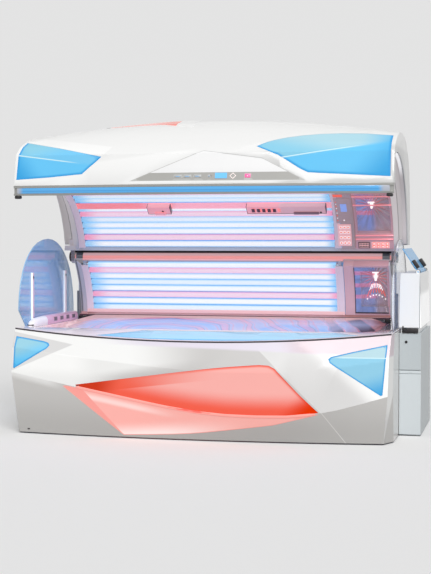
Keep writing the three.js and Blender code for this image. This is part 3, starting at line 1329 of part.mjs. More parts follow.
// Air nozzles on the flats of the acrylic, each with a turning flap
function makeNozzles() {
  const angle = mix(arcFirst, arcLast, AIR_GAP_LAMP / (CANOPY_LAMPS - 1));
  const acrylicFlat = canopyRadius * Math.cos(rad(ARC_STEP / 2));
  const back = Math.sqrt((acrylicFlat - FIT) ** 2 - NOZZLE_HALF ** 2);
  const face = back - NOZZLE_DEPTH;
  const leftStart = lampLeft + LEFT_NOZZLE_SET;
  const rightStart = consoleStart - RIGHT_NOZZLE_SET - RIGHT_NOZZLE_LENGTH;
  const spots = [
    { name: 'left', x0: leftStart, along: LEFT_NOZZLE_LENGTH, slots: 0, pivotSet: 52, length: 58 },
    { name: 'right', x0: rightStart, along: RIGHT_NOZZLE_LENGTH, slots: 5, pivotSet: 62, length: 150 },
  ];
  for (const { name, x0, along, slots, pivotSet, length } of spots) {
    const x1 = x0 + along;
    const body = radialBox(angle, x0, x1, face, back, -NOZZLE_HALF, NOZZLE_HALF);
    const cuts = range(slots).map((i) => {
      const start = x0 + SLOT_SET + i * SLOT_PITCH;
      return radialBox(angle, start, start + SLOT_WIDTH, face - OVERCUT, face + SLOT_DEPTH,
        SLOT_LOW, SLOT_HIGH);
    });
    const pivotX = x1 - pivotSet;
    const flapFace = face - FIT;
    const socket = radialRod(angle, pivotX, FLAP_OFFSET, FLAP_PIVOT + RUN / 2, face - OVERCUT,
      face + FLAP_STEM + RUN);
    place(`air_nozzle_${name}`, cut(body, ...cuts, socket), '#d8a5ae', 0.35);
    const lever = radialBox(angle, pivotX - length, pivotX + FLAP_TAIL, flapFace - FLAP_WALL, flapFace,
      FLAP_OFFSET - FLAP_HALF, FLAP_OFFSET + FLAP_HALF);
    const stem = radialRod(angle, pivotX, FLAP_OFFSET, FLAP_PIVOT, flapFace - OVERCUT, face + FLAP_STEM);
    place(`nozzle_flap_${name}`, join(lever, stem), '#6b5a60', 0.35);
  }
}

makeFrame();
makeBaseCovers();
makeRearCover();
makeBench();
makeBenchLamps();
makeLampWall();
makeWallFrame();
makeHinge();
makeFins();
makeAirPod();
makeBallasts();
makeFan();
makeLifts();
makeCabinet();
makeDoors();
makeTower();
makeTowerLid();
makeCanopyFrame();
makeCanopyShell();
makeLightBar();
makeCanopyLamps();
makeConsole();
makeFaceTanner();
makeNozzles();

// The origin is the middle of the part's footprint, on the floor
const bounds = new THREE.Box3().setFromObject(bed);
const centre = bounds.getCenter(vec(0, 0, 0));
bed.position.set(-centre.x, -centre.y, -bounds.min.z);

export default bed;
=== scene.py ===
# %% [markdown]
# # A clamshell tanning bed
# The imported CAD model is the frame of this scene: its joints, sizes and places are fixed, and every piece made here
# is set against it. This first cell loads it.

# %% Load the imported frame
import json
import math

import bmesh
import bpy
from mathutils import Matrix, Vector
from mathutils.bvhtree import BVHTree
from mathutils.kdtree import KDTree

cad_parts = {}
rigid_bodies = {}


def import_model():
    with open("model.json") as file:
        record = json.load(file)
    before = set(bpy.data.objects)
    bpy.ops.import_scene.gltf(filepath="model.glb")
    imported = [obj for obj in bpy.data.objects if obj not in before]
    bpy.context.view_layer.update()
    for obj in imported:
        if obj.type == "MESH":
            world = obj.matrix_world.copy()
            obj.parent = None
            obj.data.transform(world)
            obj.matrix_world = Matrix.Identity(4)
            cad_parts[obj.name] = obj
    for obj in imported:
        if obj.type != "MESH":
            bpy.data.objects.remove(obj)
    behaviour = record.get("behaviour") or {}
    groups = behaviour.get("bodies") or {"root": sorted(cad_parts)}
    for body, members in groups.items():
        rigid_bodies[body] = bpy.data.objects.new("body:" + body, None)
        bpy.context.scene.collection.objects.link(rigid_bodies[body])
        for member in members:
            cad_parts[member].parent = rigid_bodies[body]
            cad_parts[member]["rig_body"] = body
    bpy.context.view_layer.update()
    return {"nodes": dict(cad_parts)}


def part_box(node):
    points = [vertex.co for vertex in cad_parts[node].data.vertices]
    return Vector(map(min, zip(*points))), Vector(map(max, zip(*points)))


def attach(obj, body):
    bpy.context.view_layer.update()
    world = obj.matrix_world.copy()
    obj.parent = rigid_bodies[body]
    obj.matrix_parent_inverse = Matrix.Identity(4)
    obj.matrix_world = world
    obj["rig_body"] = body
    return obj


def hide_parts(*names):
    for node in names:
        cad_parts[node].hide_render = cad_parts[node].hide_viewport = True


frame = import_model()
nodes = frame["nodes"]
scene = bpy.context.scene

# %% [markdown]
# ## Camera
# The picture was taken from the head end, a little above the middle of the bed, with a long lens.
# The place and angle come from fitting the bed's own corners. A fixed camera is set first, because
# every later choice of colour and light is judged through it.

# %% Camera
lens = bpy.data.cameras.new("salon_camera")
lens.lens = 84.566
lens.sensor_width = 36.0
lens.clip_end = 200.0
camera = bpy.data.objects.new("salon_camera", lens)
camera.location = (1.92670, -8.53016, 1.23776)
camera.rotation_euler = (math.radians(90 - 2.116), 0.0, math.radians(13.1596))
scene.collection.objects.link(camera)
scene.camera = camera
scene.view_settings.view_transform = "Standard"
print("camera at", tuple(camera.location))

# %% [markdown]
# ## Floor, backdrop and light
# A plain pale floor and an even studio sky. The sky could be an image, but two colours are enough:
# one that lights the bed, and one that the camera, the mirrors and the glass see. One wide soft sun
# from the front right lights the upright faces more than the roof, as the picture does.

# %% Floor, backdrop and light
BACKDROP = 0.772


def node(tree, kind, at=(0, 0), **values):
    made = tree.nodes.new(kind)
    made.location = at
    for key, value in values.items():
        setattr(made, key, value)
    return made


world = bpy.data.worlds.new("studio")
scene.world = world
world.use_nodes = True
sky = world.node_tree
sky.nodes.clear()
light_path = node(sky, "ShaderNodeLightPath")
seen = node(sky, "ShaderNodeMath", operation="MAXIMUM")
mirrored = node(sky, "ShaderNodeMath", operation="MAXIMUM")
sky.links.new(light_path.outputs["Is Camera Ray"], seen.inputs[0])
sky.links.new(light_path.outputs["Is Glossy Ray"], mirrored.inputs[0])
sky.links.new(light_path.outputs["Is Transmission Ray"], mirrored.inputs[1])
sky.links.new(mirrored.outputs[0], seen.inputs[1])
lit = node(sky, "ShaderNodeBackground")
lit.inputs["Color"].default_value = (1.0, 1.0, 1.0, 1.0)
lit.inputs["Strength"].default_value = 0.44
shown = node(sky, "ShaderNodeBackground")
shown.inputs["Color"].default_value = (BACKDROP, BACKDROP, BACKDROP, 1.0)
shown.inputs["Strength"].default_value = 1.0
either = node(sky, "ShaderNodeMixShader")
sky_out = node(sky, "ShaderNodeOutputWorld")
sky.links.new(seen.outputs[0], either.inputs[0])
sky.links.new(lit.outputs[0], either.inputs[1])
sky.links.new(shown.outputs[0], either.inputs[2])
sky.links.new(either.outputs[0], sky_out.inputs["Surface"])

floor_mesh = bmesh.new()
bmesh.ops.create_grid(floor_mesh, x_segments=8, y_segments=8, size=60.0)
bmesh.ops.translate(floor_mesh, verts=floor_mesh.verts, vec=(0.0, 0.0, -0.001))
floor_data = bpy.data.meshes.new("floor")
floor_mesh.to_mesh(floor_data)
floor_mesh.free()
floor = bpy.data.objects.new("floor", floor_data)
scene.collection.objects.link(floor)


def add_sun(name, strength, spread, towards):
    data = bpy.data.lights.new(name, "SUN")
    data.energy = strength
    data.angle = math.radians(spread)
    lamp = bpy.data.objects.new(name, data)
    lamp.rotation_euler = Vector(towards).to_track_quat("-Z", "Y").to_euler()
    scene.collection.objects.link(lamp)


add_sun("key_light", 2.2, 38, (-0.25, 0.74, -0.62))

# %% [markdown]
# ## Shared finish
# Moulded plastic and painted metal are never one flat colour: they have slow clouds in the tint,
# small changes of gloss and a very fine texture. One node group makes all three from Object
# coordinates, and each material sets its own scale. The group hands out colours and values only, so
# the shader stays in the material.

# %% Shared finish


def new_group(name, inputs, outputs):
    tree = bpy.data.node_groups.new(name, "ShaderNodeTree")
    for label, kind, value in inputs:
        socket = tree.interface.new_socket(label, in_out="INPUT", socket_type=kind)
        socket.default_value = value
    for label, kind in outputs:
        tree.interface.new_socket(label, in_out="OUTPUT", socket_type=kind)
    return tree, node(tree, "NodeGroupInput", (-900, 0)), node(tree, "NodeGroupOutput", (900, 0))


COLOUR, VALUE, VECTOR = "NodeSocketColor", "NodeSocketFloat", "NodeSocketVector"

skin, skin_in, skin_out = new_group(
    "moulded_skin",
    [("Colour", COLOUR, (0.8, 0.8, 0.8, 1)), ("Cloud scale", VALUE, 3.0), ("Cloud", VALUE, 0.03),
     ("Grain scale", VALUE, 350.0), ("Roughness", VALUE, 0.3), ("Spread", VALUE, 0.06)],
    [("Colour", COLOUR), ("Roughness", VALUE), ("Height", VALUE)],
)
place = node(skin, "ShaderNodeTexCoord", (-900, -300))
clouds = node(skin, "ShaderNodeTexNoise", (-600, 200))
clouds.inputs["Detail"].default_value = 3.0
grain = node(skin, "ShaderNodeTexNoise", (-600, -200))
grain.inputs["Detail"].default_value = 2.0
for texture, scale in ((clouds, "Cloud scale"), (grain, "Grain scale")):
    skin.links.new(place.outputs["Object"], texture.inputs["Vector"])
    skin.links.new(skin_in.outputs[scale], texture.inputs["Scale"])
swing = node(skin, "ShaderNodeMath", (-300, 300), operation="MULTIPLY_ADD")
swing.inputs[2].default_value = 1.0
lean = node(skin, "ShaderNodeMath", (-450, 300), operation="SUBTRACT")
lean.inputs[1].default_value = 0.5
skin.links.new(clouds.outputs["Fac"], lean.inputs[0])
skin.links.new(lean.outputs[0], swing.inputs[0])
skin.links.new(skin_in.outputs["Cloud"], swing.inputs[1])
tinted = node(skin, "ShaderNodeVectorMath", (100, 300), operation="SCALE")
skin.links.new(skin_in.outputs["Colour"], tinted.inputs[0])
skin.links.new(swing.outputs[0], tinted.inputs["Scale"])
skin.links.new(tinted.outputs[0], skin_out.inputs["Colour"])
rough = node(skin, "ShaderNodeMath", (100, 0), operation="MULTIPLY_ADD")
skin.links.new(lean.outputs[0], rough.inputs[0])
skin.links.new(skin_in.outputs["Spread"], rough.inputs[1])
skin.links.new(skin_in.outputs["Roughness"], rough.inputs[2])
skin.links.new(rough.outputs[0], skin_out.inputs["Roughness"])
skin.links.new(grain.outputs["Fac"], skin_out.inputs["Height"])
print("group:", skin.name, [s.name for s in skin.interface.items_tree])

# %% [markdown]
# A second group measures how far along a direction a point lies. Light lenses, lamp ends, two-tone panels and painted
# shade and light all need such a slow change from one colour to another, and a group keeps the measure in one place.

# %% Gradient group
slope, slope_in, slope_out = new_group(
    "along",
    [("Direction", VECTOR, (0, 0, 1)), ("Start", VALUE, 0.0), ("End", VALUE, 1.0)],
    [("Share", VALUE)],
)
place = node(slope, "ShaderNodeTexCoord", (-700, -200))
dot = node(slope, "ShaderNodeVectorMath", (-400, 0), operation="DOT_PRODUCT")
slope.links.new(place.outputs["Object"], dot.inputs[0])
slope.links.new(slope_in.outputs["Direction"], dot.inputs[1])
share = node(slope, "ShaderNodeMapRange", (-100, 0), interpolation_type="SMOOTHSTEP")
slope.links.new(dot.outputs["Value"], share.inputs["Value"])
slope.links.new(slope_in.outputs["Start"], share.inputs["From Min"])
slope.links.new(slope_in.outputs["End"], share.inputs["From Max"])
slope.links.new(share.outputs["Result"], slope_out.inputs["Share"])


def srgb(text):
    """A colour written as in a paint card, turned into the linear numbers that shaders use."""
    parts = [int(text[i:i + 2], 16) / 255 for i in (1, 3, 5)]
    return tuple(c / 12.92 if c <= 0.04045 else ((c + 0.055) / 1.055) ** 2.4 for c in parts) + (1.0,)


def finish(name, colour, rough=0.3, metal=0.0, coat=0.0, cloud=0.05, cloud_scale=2.5, grain=300.0,
           bump=0.02, spread=0.08, alpha=None, glow=None, strength=0.0, shine=0.5):
    """A Principled material on the shared finish. Returns the material."""
    material = bpy.data.materials.new(name)
    material.use_nodes = True
    tree = material.node_tree
    shader = tree.nodes["Principled BSDF"]
    base = node(tree, "ShaderNodeGroup", (-500, 0), node_tree=skin, name="skin")
    base.inputs["Colour"].default_value = srgb(colour)
    base.inputs["Cloud scale"].default_value = cloud_scale
    base.inputs["Cloud"].default_value = cloud
    base.inputs["Grain scale"].default_value = grain
    base.inputs["Roughness"].default_value = rough
    base.inputs["Spread"].default_value = spread
    relief = node(tree, "ShaderNodeBump", (-250, -250))
    relief.inputs["Strength"].default_value = bump
    relief.inputs["Distance"].default_value = 0.001
    tree.links.new(base.outputs["Colour"], shader.inputs["Base Color"])
    tree.links.new(base.outputs["Roughness"], shader.inputs["Roughness"])
    tree.links.new(base.outputs["Height"], relief.inputs["Height"])
    tree.links.new(relief.outputs["Normal"], shader.inputs["Normal"])
    shader.inputs["Metallic"].default_value = metal
    shader.inputs["Coat Weight"].default_value = coat
    shader.inputs["Coat Roughness"].default_value = 0.06
    shader.inputs["Specular IOR Level"].default_value = shine
    if alpha is not None:
        shader.inputs["Alpha"].default_value = alpha
    if glow:
        shader.inputs["Emission Color"].default_value = srgb(glow)
        shader.inputs["Emission Strength"].default_value = strength
    return material


def blend_in(material, share, colour):
    """Mix one more colour into what feeds the finish of a material, by a mask."""
    tree = material.node_tree
    base = tree.nodes["skin"]
    mixer = node(tree, "ShaderNodeMix", (-750, 100), data_type="RGBA")
    before = base.inputs["Colour"].links
    if before:
        tree.links.new(before[0].from_socket, mixer.inputs["A"])
    else:
        mixer.inputs["A"].default_value = base.inputs["Colour"].default_value
    mixer.inputs["B"].default_value = srgb(colour)
    tree.links.new(share, mixer.inputs["Factor"])
    tree.links.new(mixer.outputs["Result"], base.inputs["Colour"])
    return mixer


def along(material, direction, start, end):
    """A mask that rises from 0 at start to 1 at end, measured along a direction."""
    tree = material.node_tree
    made = node(tree, "ShaderNodeGroup", (-1000, 100), node_tree=slope)
    made.inputs["Direction"].default_value = direction
    made.inputs["Start"].default_value = start
    made.inputs["End"].default_value = end
    return made.outputs["Share"]


def both(material, first, second, how="MULTIPLY"):
    """Two masks joined into one."""
    tree = material.node_tree
    made = node(tree, "ShaderNodeMath", (-850, 100), operation=how)
    tree.links.new(first, made.inputs[0])
    tree.links.new(second, made.inputs[1])
    return made.outputs[0]


def glow_with_colour(material, strength):
    """Let a part shine in its own colours. On lamps, screens and signal lights that is their own light; on every other
    part it is painted light, standing in for the lamps' light on it.
    """
    tree = material.node_tree
    shader = tree.nodes["Principled BSDF"]
    tree.links.new(tree.nodes["skin"].outputs["Colour"], shader.inputs["Emission Color"])
    shader.inputs["Emission Strength"].default_value = strength


def paint_light_where(material, share, colour, strength):
    """Paint light on only a masked place of a part, in one colour: a painted highlight or painted lamp light."""
    tree = material.node_tree
    shader = tree.nodes["Principled BSDF"]
    tint = node(tree, "ShaderNodeMix", (-400, 300), data_type="RGBA")
    tint.inputs["A"].default_value = (0.0, 0.0, 0.0, 1.0)
    tint.inputs["B"].default_value = srgb(colour)
    tree.links.new(share, tint.inputs["Factor"])
    tree.links.new(tint.outputs["Result"], shader.inputs["Emission Color"])
    shader.inputs["Emission Strength"].default_value = strength


reach_group, reach_in, reach_out = new_group(
    "reach",
    [("Centre", VECTOR, (0, 0, 0)), ("Stretch", VECTOR, (1, 1, 1)), ("Start", VALUE, 0.0), ("End", VALUE, 1.0)],
    [("Share", VALUE)],
)
place = node(reach_group, "ShaderNodeTexCoord", (-700, -200))
offset = node(reach_group, "ShaderNodeVectorMath", (-500, 0), operation="SUBTRACT")
scaled = node(reach_group, "ShaderNodeVectorMath", (-300, 0), operation="MULTIPLY")
far = node(reach_group, "ShaderNodeVectorMath", (-100, 0), operation="LENGTH")
share = node(reach_group, "ShaderNodeMapRange", (200, 0), interpolation_type="SMOOTHSTEP")
reach_group.links.new(place.outputs["Object"], offset.inputs[0])
reach_group.links.new(reach_in.outputs["Centre"], offset.inputs[1])
reach_group.links.new(offset.outputs[0], scaled.inputs[0])
reach_group.links.new(reach_in.outputs["Stretch"], scaled.inputs[1])
reach_group.links.new(scaled.outputs[0], far.inputs[0])
reach_group.links.new(far.outputs["Value"], share.inputs["Value"])
reach_group.links.new(reach_in.outputs["Start"], share.inputs["From Min"])
reach_group.links.new(reach_in.outputs["End"], share.inputs["From Max"])
reach_group.links.new(share.outputs["Result"], reach_out.inputs["Share"])


def away_from(material, centre, stretch, start, end):
    """A mask that rises from 0 at start to 1 at end, measured outwards from a centre."""
    made = node(material.node_tree, "ShaderNodeGroup", (-1000, -100), node_tree=reach_group)
    for label, value in (("Centre", centre), ("Stretch", stretch), ("Start", start), ("End", end)):
        made.inputs[label].default_value = value
    return made.outputs["Share"]


fold_group, fold_in, fold_out = new_group(
    "fold",
    [("Before", VALUE, 0.0), ("Across", VECTOR, (0, 0, 1)), ("Line", VALUE, 0.0), ("Slope", VALUE, 0.1),
     ("Soft", VALUE, 0.02)],
    [("Height", VALUE)],
)
place = node(fold_group, "ShaderNodeTexCoord", (-700, -200))
dot = node(fold_group, "ShaderNodeVectorMath", (-500, 0), operation="DOT_PRODUCT")
past = node(fold_group, "ShaderNodeMath", (-300, 0), operation="SUBTRACT")
ramp = node(fold_group, "ShaderNodeMath", (-100, 0), operation="SMOOTH_MAX")
ramp.inputs[1].default_value = 0.0
climb = node(fold_group, "ShaderNodeMath", (200, 0), operation="MULTIPLY_ADD")
fold_group.links.new(place.outputs["Object"], dot.inputs[0])
fold_group.links.new(fold_in.outputs["Across"], dot.inputs[1])
fold_group.links.new(dot.outputs["Value"], past.inputs[0])
fold_group.links.new(fold_in.outputs["Line"], past.inputs[1])
fold_group.links.new(past.outputs[0], ramp.inputs[0])
fold_group.links.new(fold_in.outputs["Soft"], ramp.inputs[2])
fold_group.links.new(ramp.outputs[0], climb.inputs[0])
fold_group.links.new(fold_in.outputs["Slope"], climb.inputs[1])
fold_group.links.new(fold_in.outputs["Before"], climb.inputs[2])
fold_group.links.new(climb.outputs[0], fold_out.inputs["Height"])


def left_of(start, end):
    """The direction to the left of a line drawn on the front (X, Z), and the line's own reach."""
    across = Vector((start[1] - end[1], 0.0, end[0] - start[0])).normalized()
    return across, across.dot(Vector((start[0], 0.0, start[1])))


def add_folds(material, folds):
    """Tilt the surface past each line: (start, end, slope, soft), to the left of start to end."""
    tree = material.node_tree
    height = None
    for start, end, slope, soft in folds:
        made = node(tree, "ShaderNodeGroup", (-900, -500), node_tree=fold_group)
        across, line = left_of(start, end)
        made.inputs["Across"].default_value = across
        made.inputs["Line"].default_value = line
        made.inputs["Slope"].default_value = slope
        made.inputs["Soft"].default_value = soft
        if height:
            tree.links.new(height, made.inputs["Before"])
        height = made.outputs["Height"]
    crease = node(tree, "ShaderNodeBump", (-450, -450))
    crease.inputs["Strength"].default_value = 1.0
    crease.inputs["Distance"].default_value = 1.0
    tree.links.new(height, crease.inputs["Height"])
    grain_bump = next(n for n in tree.nodes if n.type == "BUMP" and n is not crease)
    tree.links.new(crease.outputs["Normal"], grain_bump.inputs["Normal"])


def past_line(material, start, end, soft):
    """A mask that is 1 to the left of a line drawn on the front."""
    across, line = left_of(start, end)
    return along(material, across, line - soft / 2, line + soft / 2)


floor_finish = finish("studio_floor", "#F1F1F1", rough=0.8, cloud=0.01, cloud_scale=0.6, bump=0.0)
floor_data.materials.append(floor_finish)
floor_tree = floor_finish.node_tree
floor_path = node(floor_tree, "ShaderNodeLightPath", (-500, 400))
bounce = node(floor_tree, "ShaderNodeBsdfDiffuse", (-250, 300))
bounce.inputs["Color"].default_value = (0.34, 0.34, 0.34, 1.0)
floor_mix = node(floor_tree, "ShaderNodeMixShader", (300, 200))
floor_seen = node(floor_tree, "ShaderNodeMath", (-250, 500), operation="SUBTRACT")
floor_seen.inputs[0].default_value = 1.0
floor_tree.links.new(floor_path.outputs["Is Diffuse Ray"], floor_seen.inputs[1])
floor_tree.links.new(floor_seen.outputs[0], floor_mix.inputs[0])
floor_tree.links.new(bounce.outputs[0], floor_mix.inputs[1])
floor_shader = floor_tree.nodes["Principled BSDF"]
floor_shader.inputs["Specular IOR Level"].default_value = 0.0
floor_tree.links.new(floor_shader.outputs[0], floor_mix.inputs[2])
floor_tree.links.new(floor_mix.outputs[0], floor_tree.nodes["Material Output"].inputs["Surface"])
print("floor finish ready")

# %% [markdown]
# ## Plain finishes
# The list of plain materials: white gloss shells, brushed aluminium, rose-tinted metal round the lamps, dark rubber and
# the greys of the service cabinet. Each gets its colour from the picture. Many also carry painted light and shade: a
# glow that stands for the lamps' light on parts that are no lamps, and paler or greyer places that are painted light
# and painted shade.

# %% Plain finishes
white_gloss = finish("white_gloss", "#F4F4F2", rough=0.3, coat=0.4, cloud=0.02, cloud_scale=1.5, spread=0.02)
cover_white = finish("cover_white", "#F4F4F2", rough=0.3, coat=0.4, cloud=0.02, cloud_scale=1.5, spread=0.02)
canopy_white = finish("canopy_white", "#F1F1F0", rough=0.3, coat=0.4, cloud=0.02, cloud_scale=1.5,
                      spread=0.02)
# The base ends turn greyer below about 0.3 m: painted shade of their lower, down-turned part.
blend_in(white_gloss, along(white_gloss, (0, 0, -1), -0.45, -0.30), "#E4E1DE")
# The skirt's grey, darker towards the floor, is painted shade of its down-facing faces.
skirt_painted_shade = finish("skirt_painted_shade", "#D9D7D4", rough=0.34, coat=0.3, cloud=0.02, cloud_scale=1.5, spread=0.02)
blend_in(skirt_painted_shade, along(skirt_painted_shade, (0, 0, -1), -0.33, -0.03), "#C5C3C0")
rear_white = finish("rear_white", "#DEDEDC", rough=0.4, cloud=0.06, grain=500, bump=0.05)
deck_gloss = finish("deck_gloss", "#E4DBE4", rough=0.12, coat=0.7, cloud=0.04)
aluminium = finish("brushed_aluminium", "#A9A9A6", rough=0.32, metal=0.75, cloud=0.08, grain=900)
frame_metal, wall_metal = [finish(name, "#DCD3D6", rough=0.36, metal=0.1, cloud=0.08)
                           for name in ("canopy_arch_metal", "wall_arch_metal")]
for material, axis_y, axis_z, groove_at in ((frame_metal, -0.2209, 1.0463, 0.600), (wall_metal, -0.1535, 0.664, 0.640)):
    centre = (0.0, axis_y, axis_z)
    line = both(material, away_from(material, centre, (0, 1, 1), groove_at, groove_at + 0.006),
                away_from(material, centre, (0, 1, 1), groove_at + 0.014, groove_at + 0.020), "SUBTRACT")
    blend_in(material, away_from(material, centre, (0, 1, 1), groove_at + 0.014, groove_at + 0.020), "#CFC8CA")
    blend_in(material, line, "#8B8487")
lit_side = along(wall_metal, (0, -1, 0), -0.520, -0.510)
blend_in(wall_metal, both(wall_metal, lit_side, along(wall_metal, (0, 0, -1), -0.7200, -0.7180)), "#E2AEAC")
blend_in(wall_metal, both(wall_metal, lit_side, along(wall_metal, (0, 0, -1), -0.7035, -0.7015)), "#5A3F45")
# The arches' glow is painted lamp light.
for material in (frame_metal, wall_metal):
    glow_with_colour(material, 0.14)
# A painted highlight along the inner flange at the canopy's right end.
flange = both(frame_metal, along(frame_metal, (1, 0, 0), 1.104, 1.110), along(frame_metal, (0, 0, 1), 1.60, 1.70))
arch_tree = frame_metal.node_tree
flange_painted_highlight = node(arch_tree, "ShaderNodeMix", (-100, 400), data_type="RGBA")
flange_painted_highlight.inputs["B"].default_value = (3.7, 3.8, 3.9, 1.0)
arch_tree.links.new(flange, flange_painted_highlight.inputs["Factor"])
arch_tree.links.new(arch_tree.nodes["skin"].outputs["Colour"], flange_painted_highlight.inputs["A"])
arch_tree.links.new(flange_painted_highlight.outputs["Result"], arch_tree.nodes["Principled BSDF"].inputs["Emission Color"])
rose_metal = finish("rose_metal", "#EFA3A1", rough=0.3, coat=0.2, cloud=0.05, grain=700)
# Greyer on top; darker underneath and at the back, which is painted shade. The glow is painted lamp light.
blend_in(rose_metal, along(rose_metal, (0, 0, 1), 1.110, 1.114), "#D8B2B5")
blend_in(rose_metal, along(rose_metal, (0, 0, -1), -1.084, -1.078), "#A5929A")
blend_in(rose_metal, along(rose_metal, (0, 1, 0), 0.432, 0.440), "#8F878B")
glow_with_colour(rose_metal, 0.52)
dark_rubber = finish("dark_rubber", "#1E1A1C", rough=0.5, cloud=0.2, grain=900, bump=0.1)
painted_steel = finish("painted_steel", "#8D9094", rough=0.45, metal=0.4, cloud=0.1)
chrome = finish("chrome_rod", "#D3D5D8", rough=0.12, metal=1.0, cloud=0.05)
cabinet_paint = finish("cabinet_paint", "#C2C9CC", rough=0.38, cloud=0.05, grain=600, bump=0.05)
unit_paint = finish("unit_paint", "#6D7276", rough=0.5, cloud=0.1, grain=600, bump=0.08)
canister_white = finish("canister_white", "#E8E6E0", rough=0.3, cloud=0.05)
tower_white = finish("tower_white", "#FCFCFC", rough=0.3, coat=0.3, cloud=0.02, spread=0.02)
slot_side = both(tower_white, along(tower_white, (0, 1, 0), -0.0512, -0.0504), along(tower_white, (0, -1, 0), 0.0324, 0.0332))
blend_in(tower_white, both(tower_white, slot_side, along(tower_white, (1, 0, 0), 1.250, 1.251)), "#8F9498")
side_seam = both(tower_white, along(tower_white, (1, 0, 0), 1.2560, 1.2570), along(tower_white, (-1, 0, 0), -1.2605, -1.2595))
blend_in(tower_white, both(tower_white, side_seam, along(tower_white, (0, -1, 0), 0.085, 0.095)), "#7E8388")
# The tower's right side glows a little: painted light.
paint_light_where(tower_white, along(tower_white, (1, 0, 0), 1.2600, 1.2615), "#FFFFFF", 0.27)
door_paint = finish("door_paint", "#D6DDE0", rough=0.38, cloud=0.05, grain=600, bump=0.05)
groove = both(door_paint, along(door_paint, (0, 0, 1), 0.3865, 0.3875), along(door_paint, (0, 0, -1), -0.3915, -0.3905))
blend_in(door_paint, groove, "#8E979B")
pod_rose = finish("pod_rose", "#E3B2CB", rough=0.3, coat=0.4, cloud=0.06)
blend_in(pod_rose, along(pod_rose, (0, -1, 0), 0.155, 0.165), "#F8F4F6")
# The pod's glow is painted lamp light.
glow_with_colour(pod_rose, 0.12)
nozzle_rose = finish("nozzle_rose", "#F3A4AA", rough=0.35, coat=0.2, cloud=0.06)
trim_edges = along(nozzle_rose, (0, 0.773, -0.634), -0.8056, -0.8044)
for direction, place_x in ((-1, 0.5440), (1, -0.3945), (-1, -0.1262), (1, 0.6395)):
    inside = both(nozzle_rose, along(nozzle_rose, (direction, 0, 0), place_x, place_x + 0.001),
                  along(nozzle_rose, (-direction, 0, 0), -place_x - 0.0052, -place_x - 0.0048))
    trim_edges = both(nozzle_rose, trim_edges, inside, "MAXIMUM")
blend_in(nozzle_rose, along(nozzle_rose, (1, 0, 0), 0.338, 0.341), "#D9A9AF")
blend_in(nozzle_rose, trim_edges, "#4B3942")
# The nozzles' glow is painted lamp light.
glow_with_colour(nozzle_rose, 0.42)
flap_grey = finish("flap_grey", "#7C5F6A", rough=0.35, cloud=0.08)
# The flaps' glow is painted lamp light.
glow_with_colour(flap_grey, 0.34)
flap_rose = finish("flap_rose", "#F2A0A8", rough=0.35, cloud=0.08)
glow_with_colour(flap_rose, 0.42)
# The lamp reflector's blue glow is painted lamp light.
mirror = finish("lamp_mirror", "#9CC7EC", rough=0.22, metal=0.9, cloud=0.05, glow="#5FA8E0", strength=0.22)
wall_mirror = finish("wall_mirror", "#9CC7EC", rough=0.3, metal=0.8, cloud=0.05)
rear_side = away_from(wall_mirror, (0, -0.1535, 0.664), (0, 1, 1), 0.6600, 0.6612)
blend_in(wall_mirror, rear_side, "#B5B7B9")
# On its lamp side the wall reflector glows blue: painted lamp light.
lamp_side = both(wall_mirror, along(wall_mirror, (1, 0, 0), -9.0, -8.0), rear_side, "SUBTRACT")
paint_light_where(wall_mirror, lamp_side, "#5FA8E0", 0.22)
tray_mirror = finish("tray_mirror", "#B9C6E2", rough=0.2, metal=0.8, cloud=0.05)
tanner_shell = finish("tanner_shell", "#C79BA2", rough=0.3, metal=0.1, coat=0.2, cloud=0.08)
blend_in(tanner_shell, along(tanner_shell, (-1, 0, 0), -0.790, -0.786), "#D3A9AD")
blend_in(tanner_shell, along(tanner_shell, (0, 1, 0), 0.470, 0.478), "#8F898C")
# The tanner housing's glow is painted lamp light.
glow_with_colour(tanner_shell, 0.26)
console_skin = finish("console_skin", "#B09A9D", rough=0.35, cloud=0.1, grain=600, bump=0.06)
# The console's glow is painted lamp light.
glow_with_colour(console_skin, 0.28)
key_grey = finish("key_grey", "#B9BCBD", rough=0.3, cloud=0.05)
key_pink = finish("key_pink", "#F06FA8", rough=0.25, cloud=0.05, glow="#F06FA8", strength=0.25)
print("plain finishes:", len(bpy.data.materials))

# %% [markdown]
# ## Clear and lit finishes
# Acrylic is made see-through with Alpha rather than true refraction: the sheets are thin, so the
# light hardly bends, and the picture stays clean. The lamps shine by themselves; their light fades
# to blue at the ends, where the phosphor stops.

# %% Clear and lit finishes
clear_acrylic = finish("clear_acrylic", "#DCEBFA", rough=0.05, coat=0.6, bump=0.0, alpha=0.10)
fin_acrylic, fin_bowed = [finish(name, "#48B2F2", rough=0.02, coat=1.0, bump=0.0, spread=0.0, alpha=share)
                          for name, share in (("fin_acrylic", 0.26), ("fin_bowed", 0.62))]
for material in (fin_acrylic, fin_bowed):
    shader = material.node_tree.nodes["Principled BSDF"]
    shader.inputs["Coat IOR"].default_value = 2.7
    shader.inputs["Coat Roughness"].default_value = 0.02
bow_tree = fin_bowed.node_tree
surface = node(bow_tree, "ShaderNodeNewGeometry", (-900, -500))
tilt = node(bow_tree, "ShaderNodeVectorMath", (-700, -500), operation="ADD")
tilt.inputs[1].default_value = (0.0, -0.16, 0.0)
unit = node(bow_tree, "ShaderNodeVectorMath", (-500, -500), operation="NORMALIZE")
bow_tree.links.new(surface.outputs["Normal"], tilt.inputs[0])
bow_tree.links.new(tilt.outputs[0], unit.inputs[0])
bow_tree.links.new(unit.outputs[0], bow_tree.nodes["Principled BSDF"].inputs["Coat Normal"])
fin_edge_blue, fin_edge_grey = [finish(name, tone, rough=0.2, coat=0.4, bump=0.0, alpha=0.92)
                                for name, tone in (("fin_edge_blue", "#8FBFE8"), ("fin_edge_grey", "#8E888D"))]
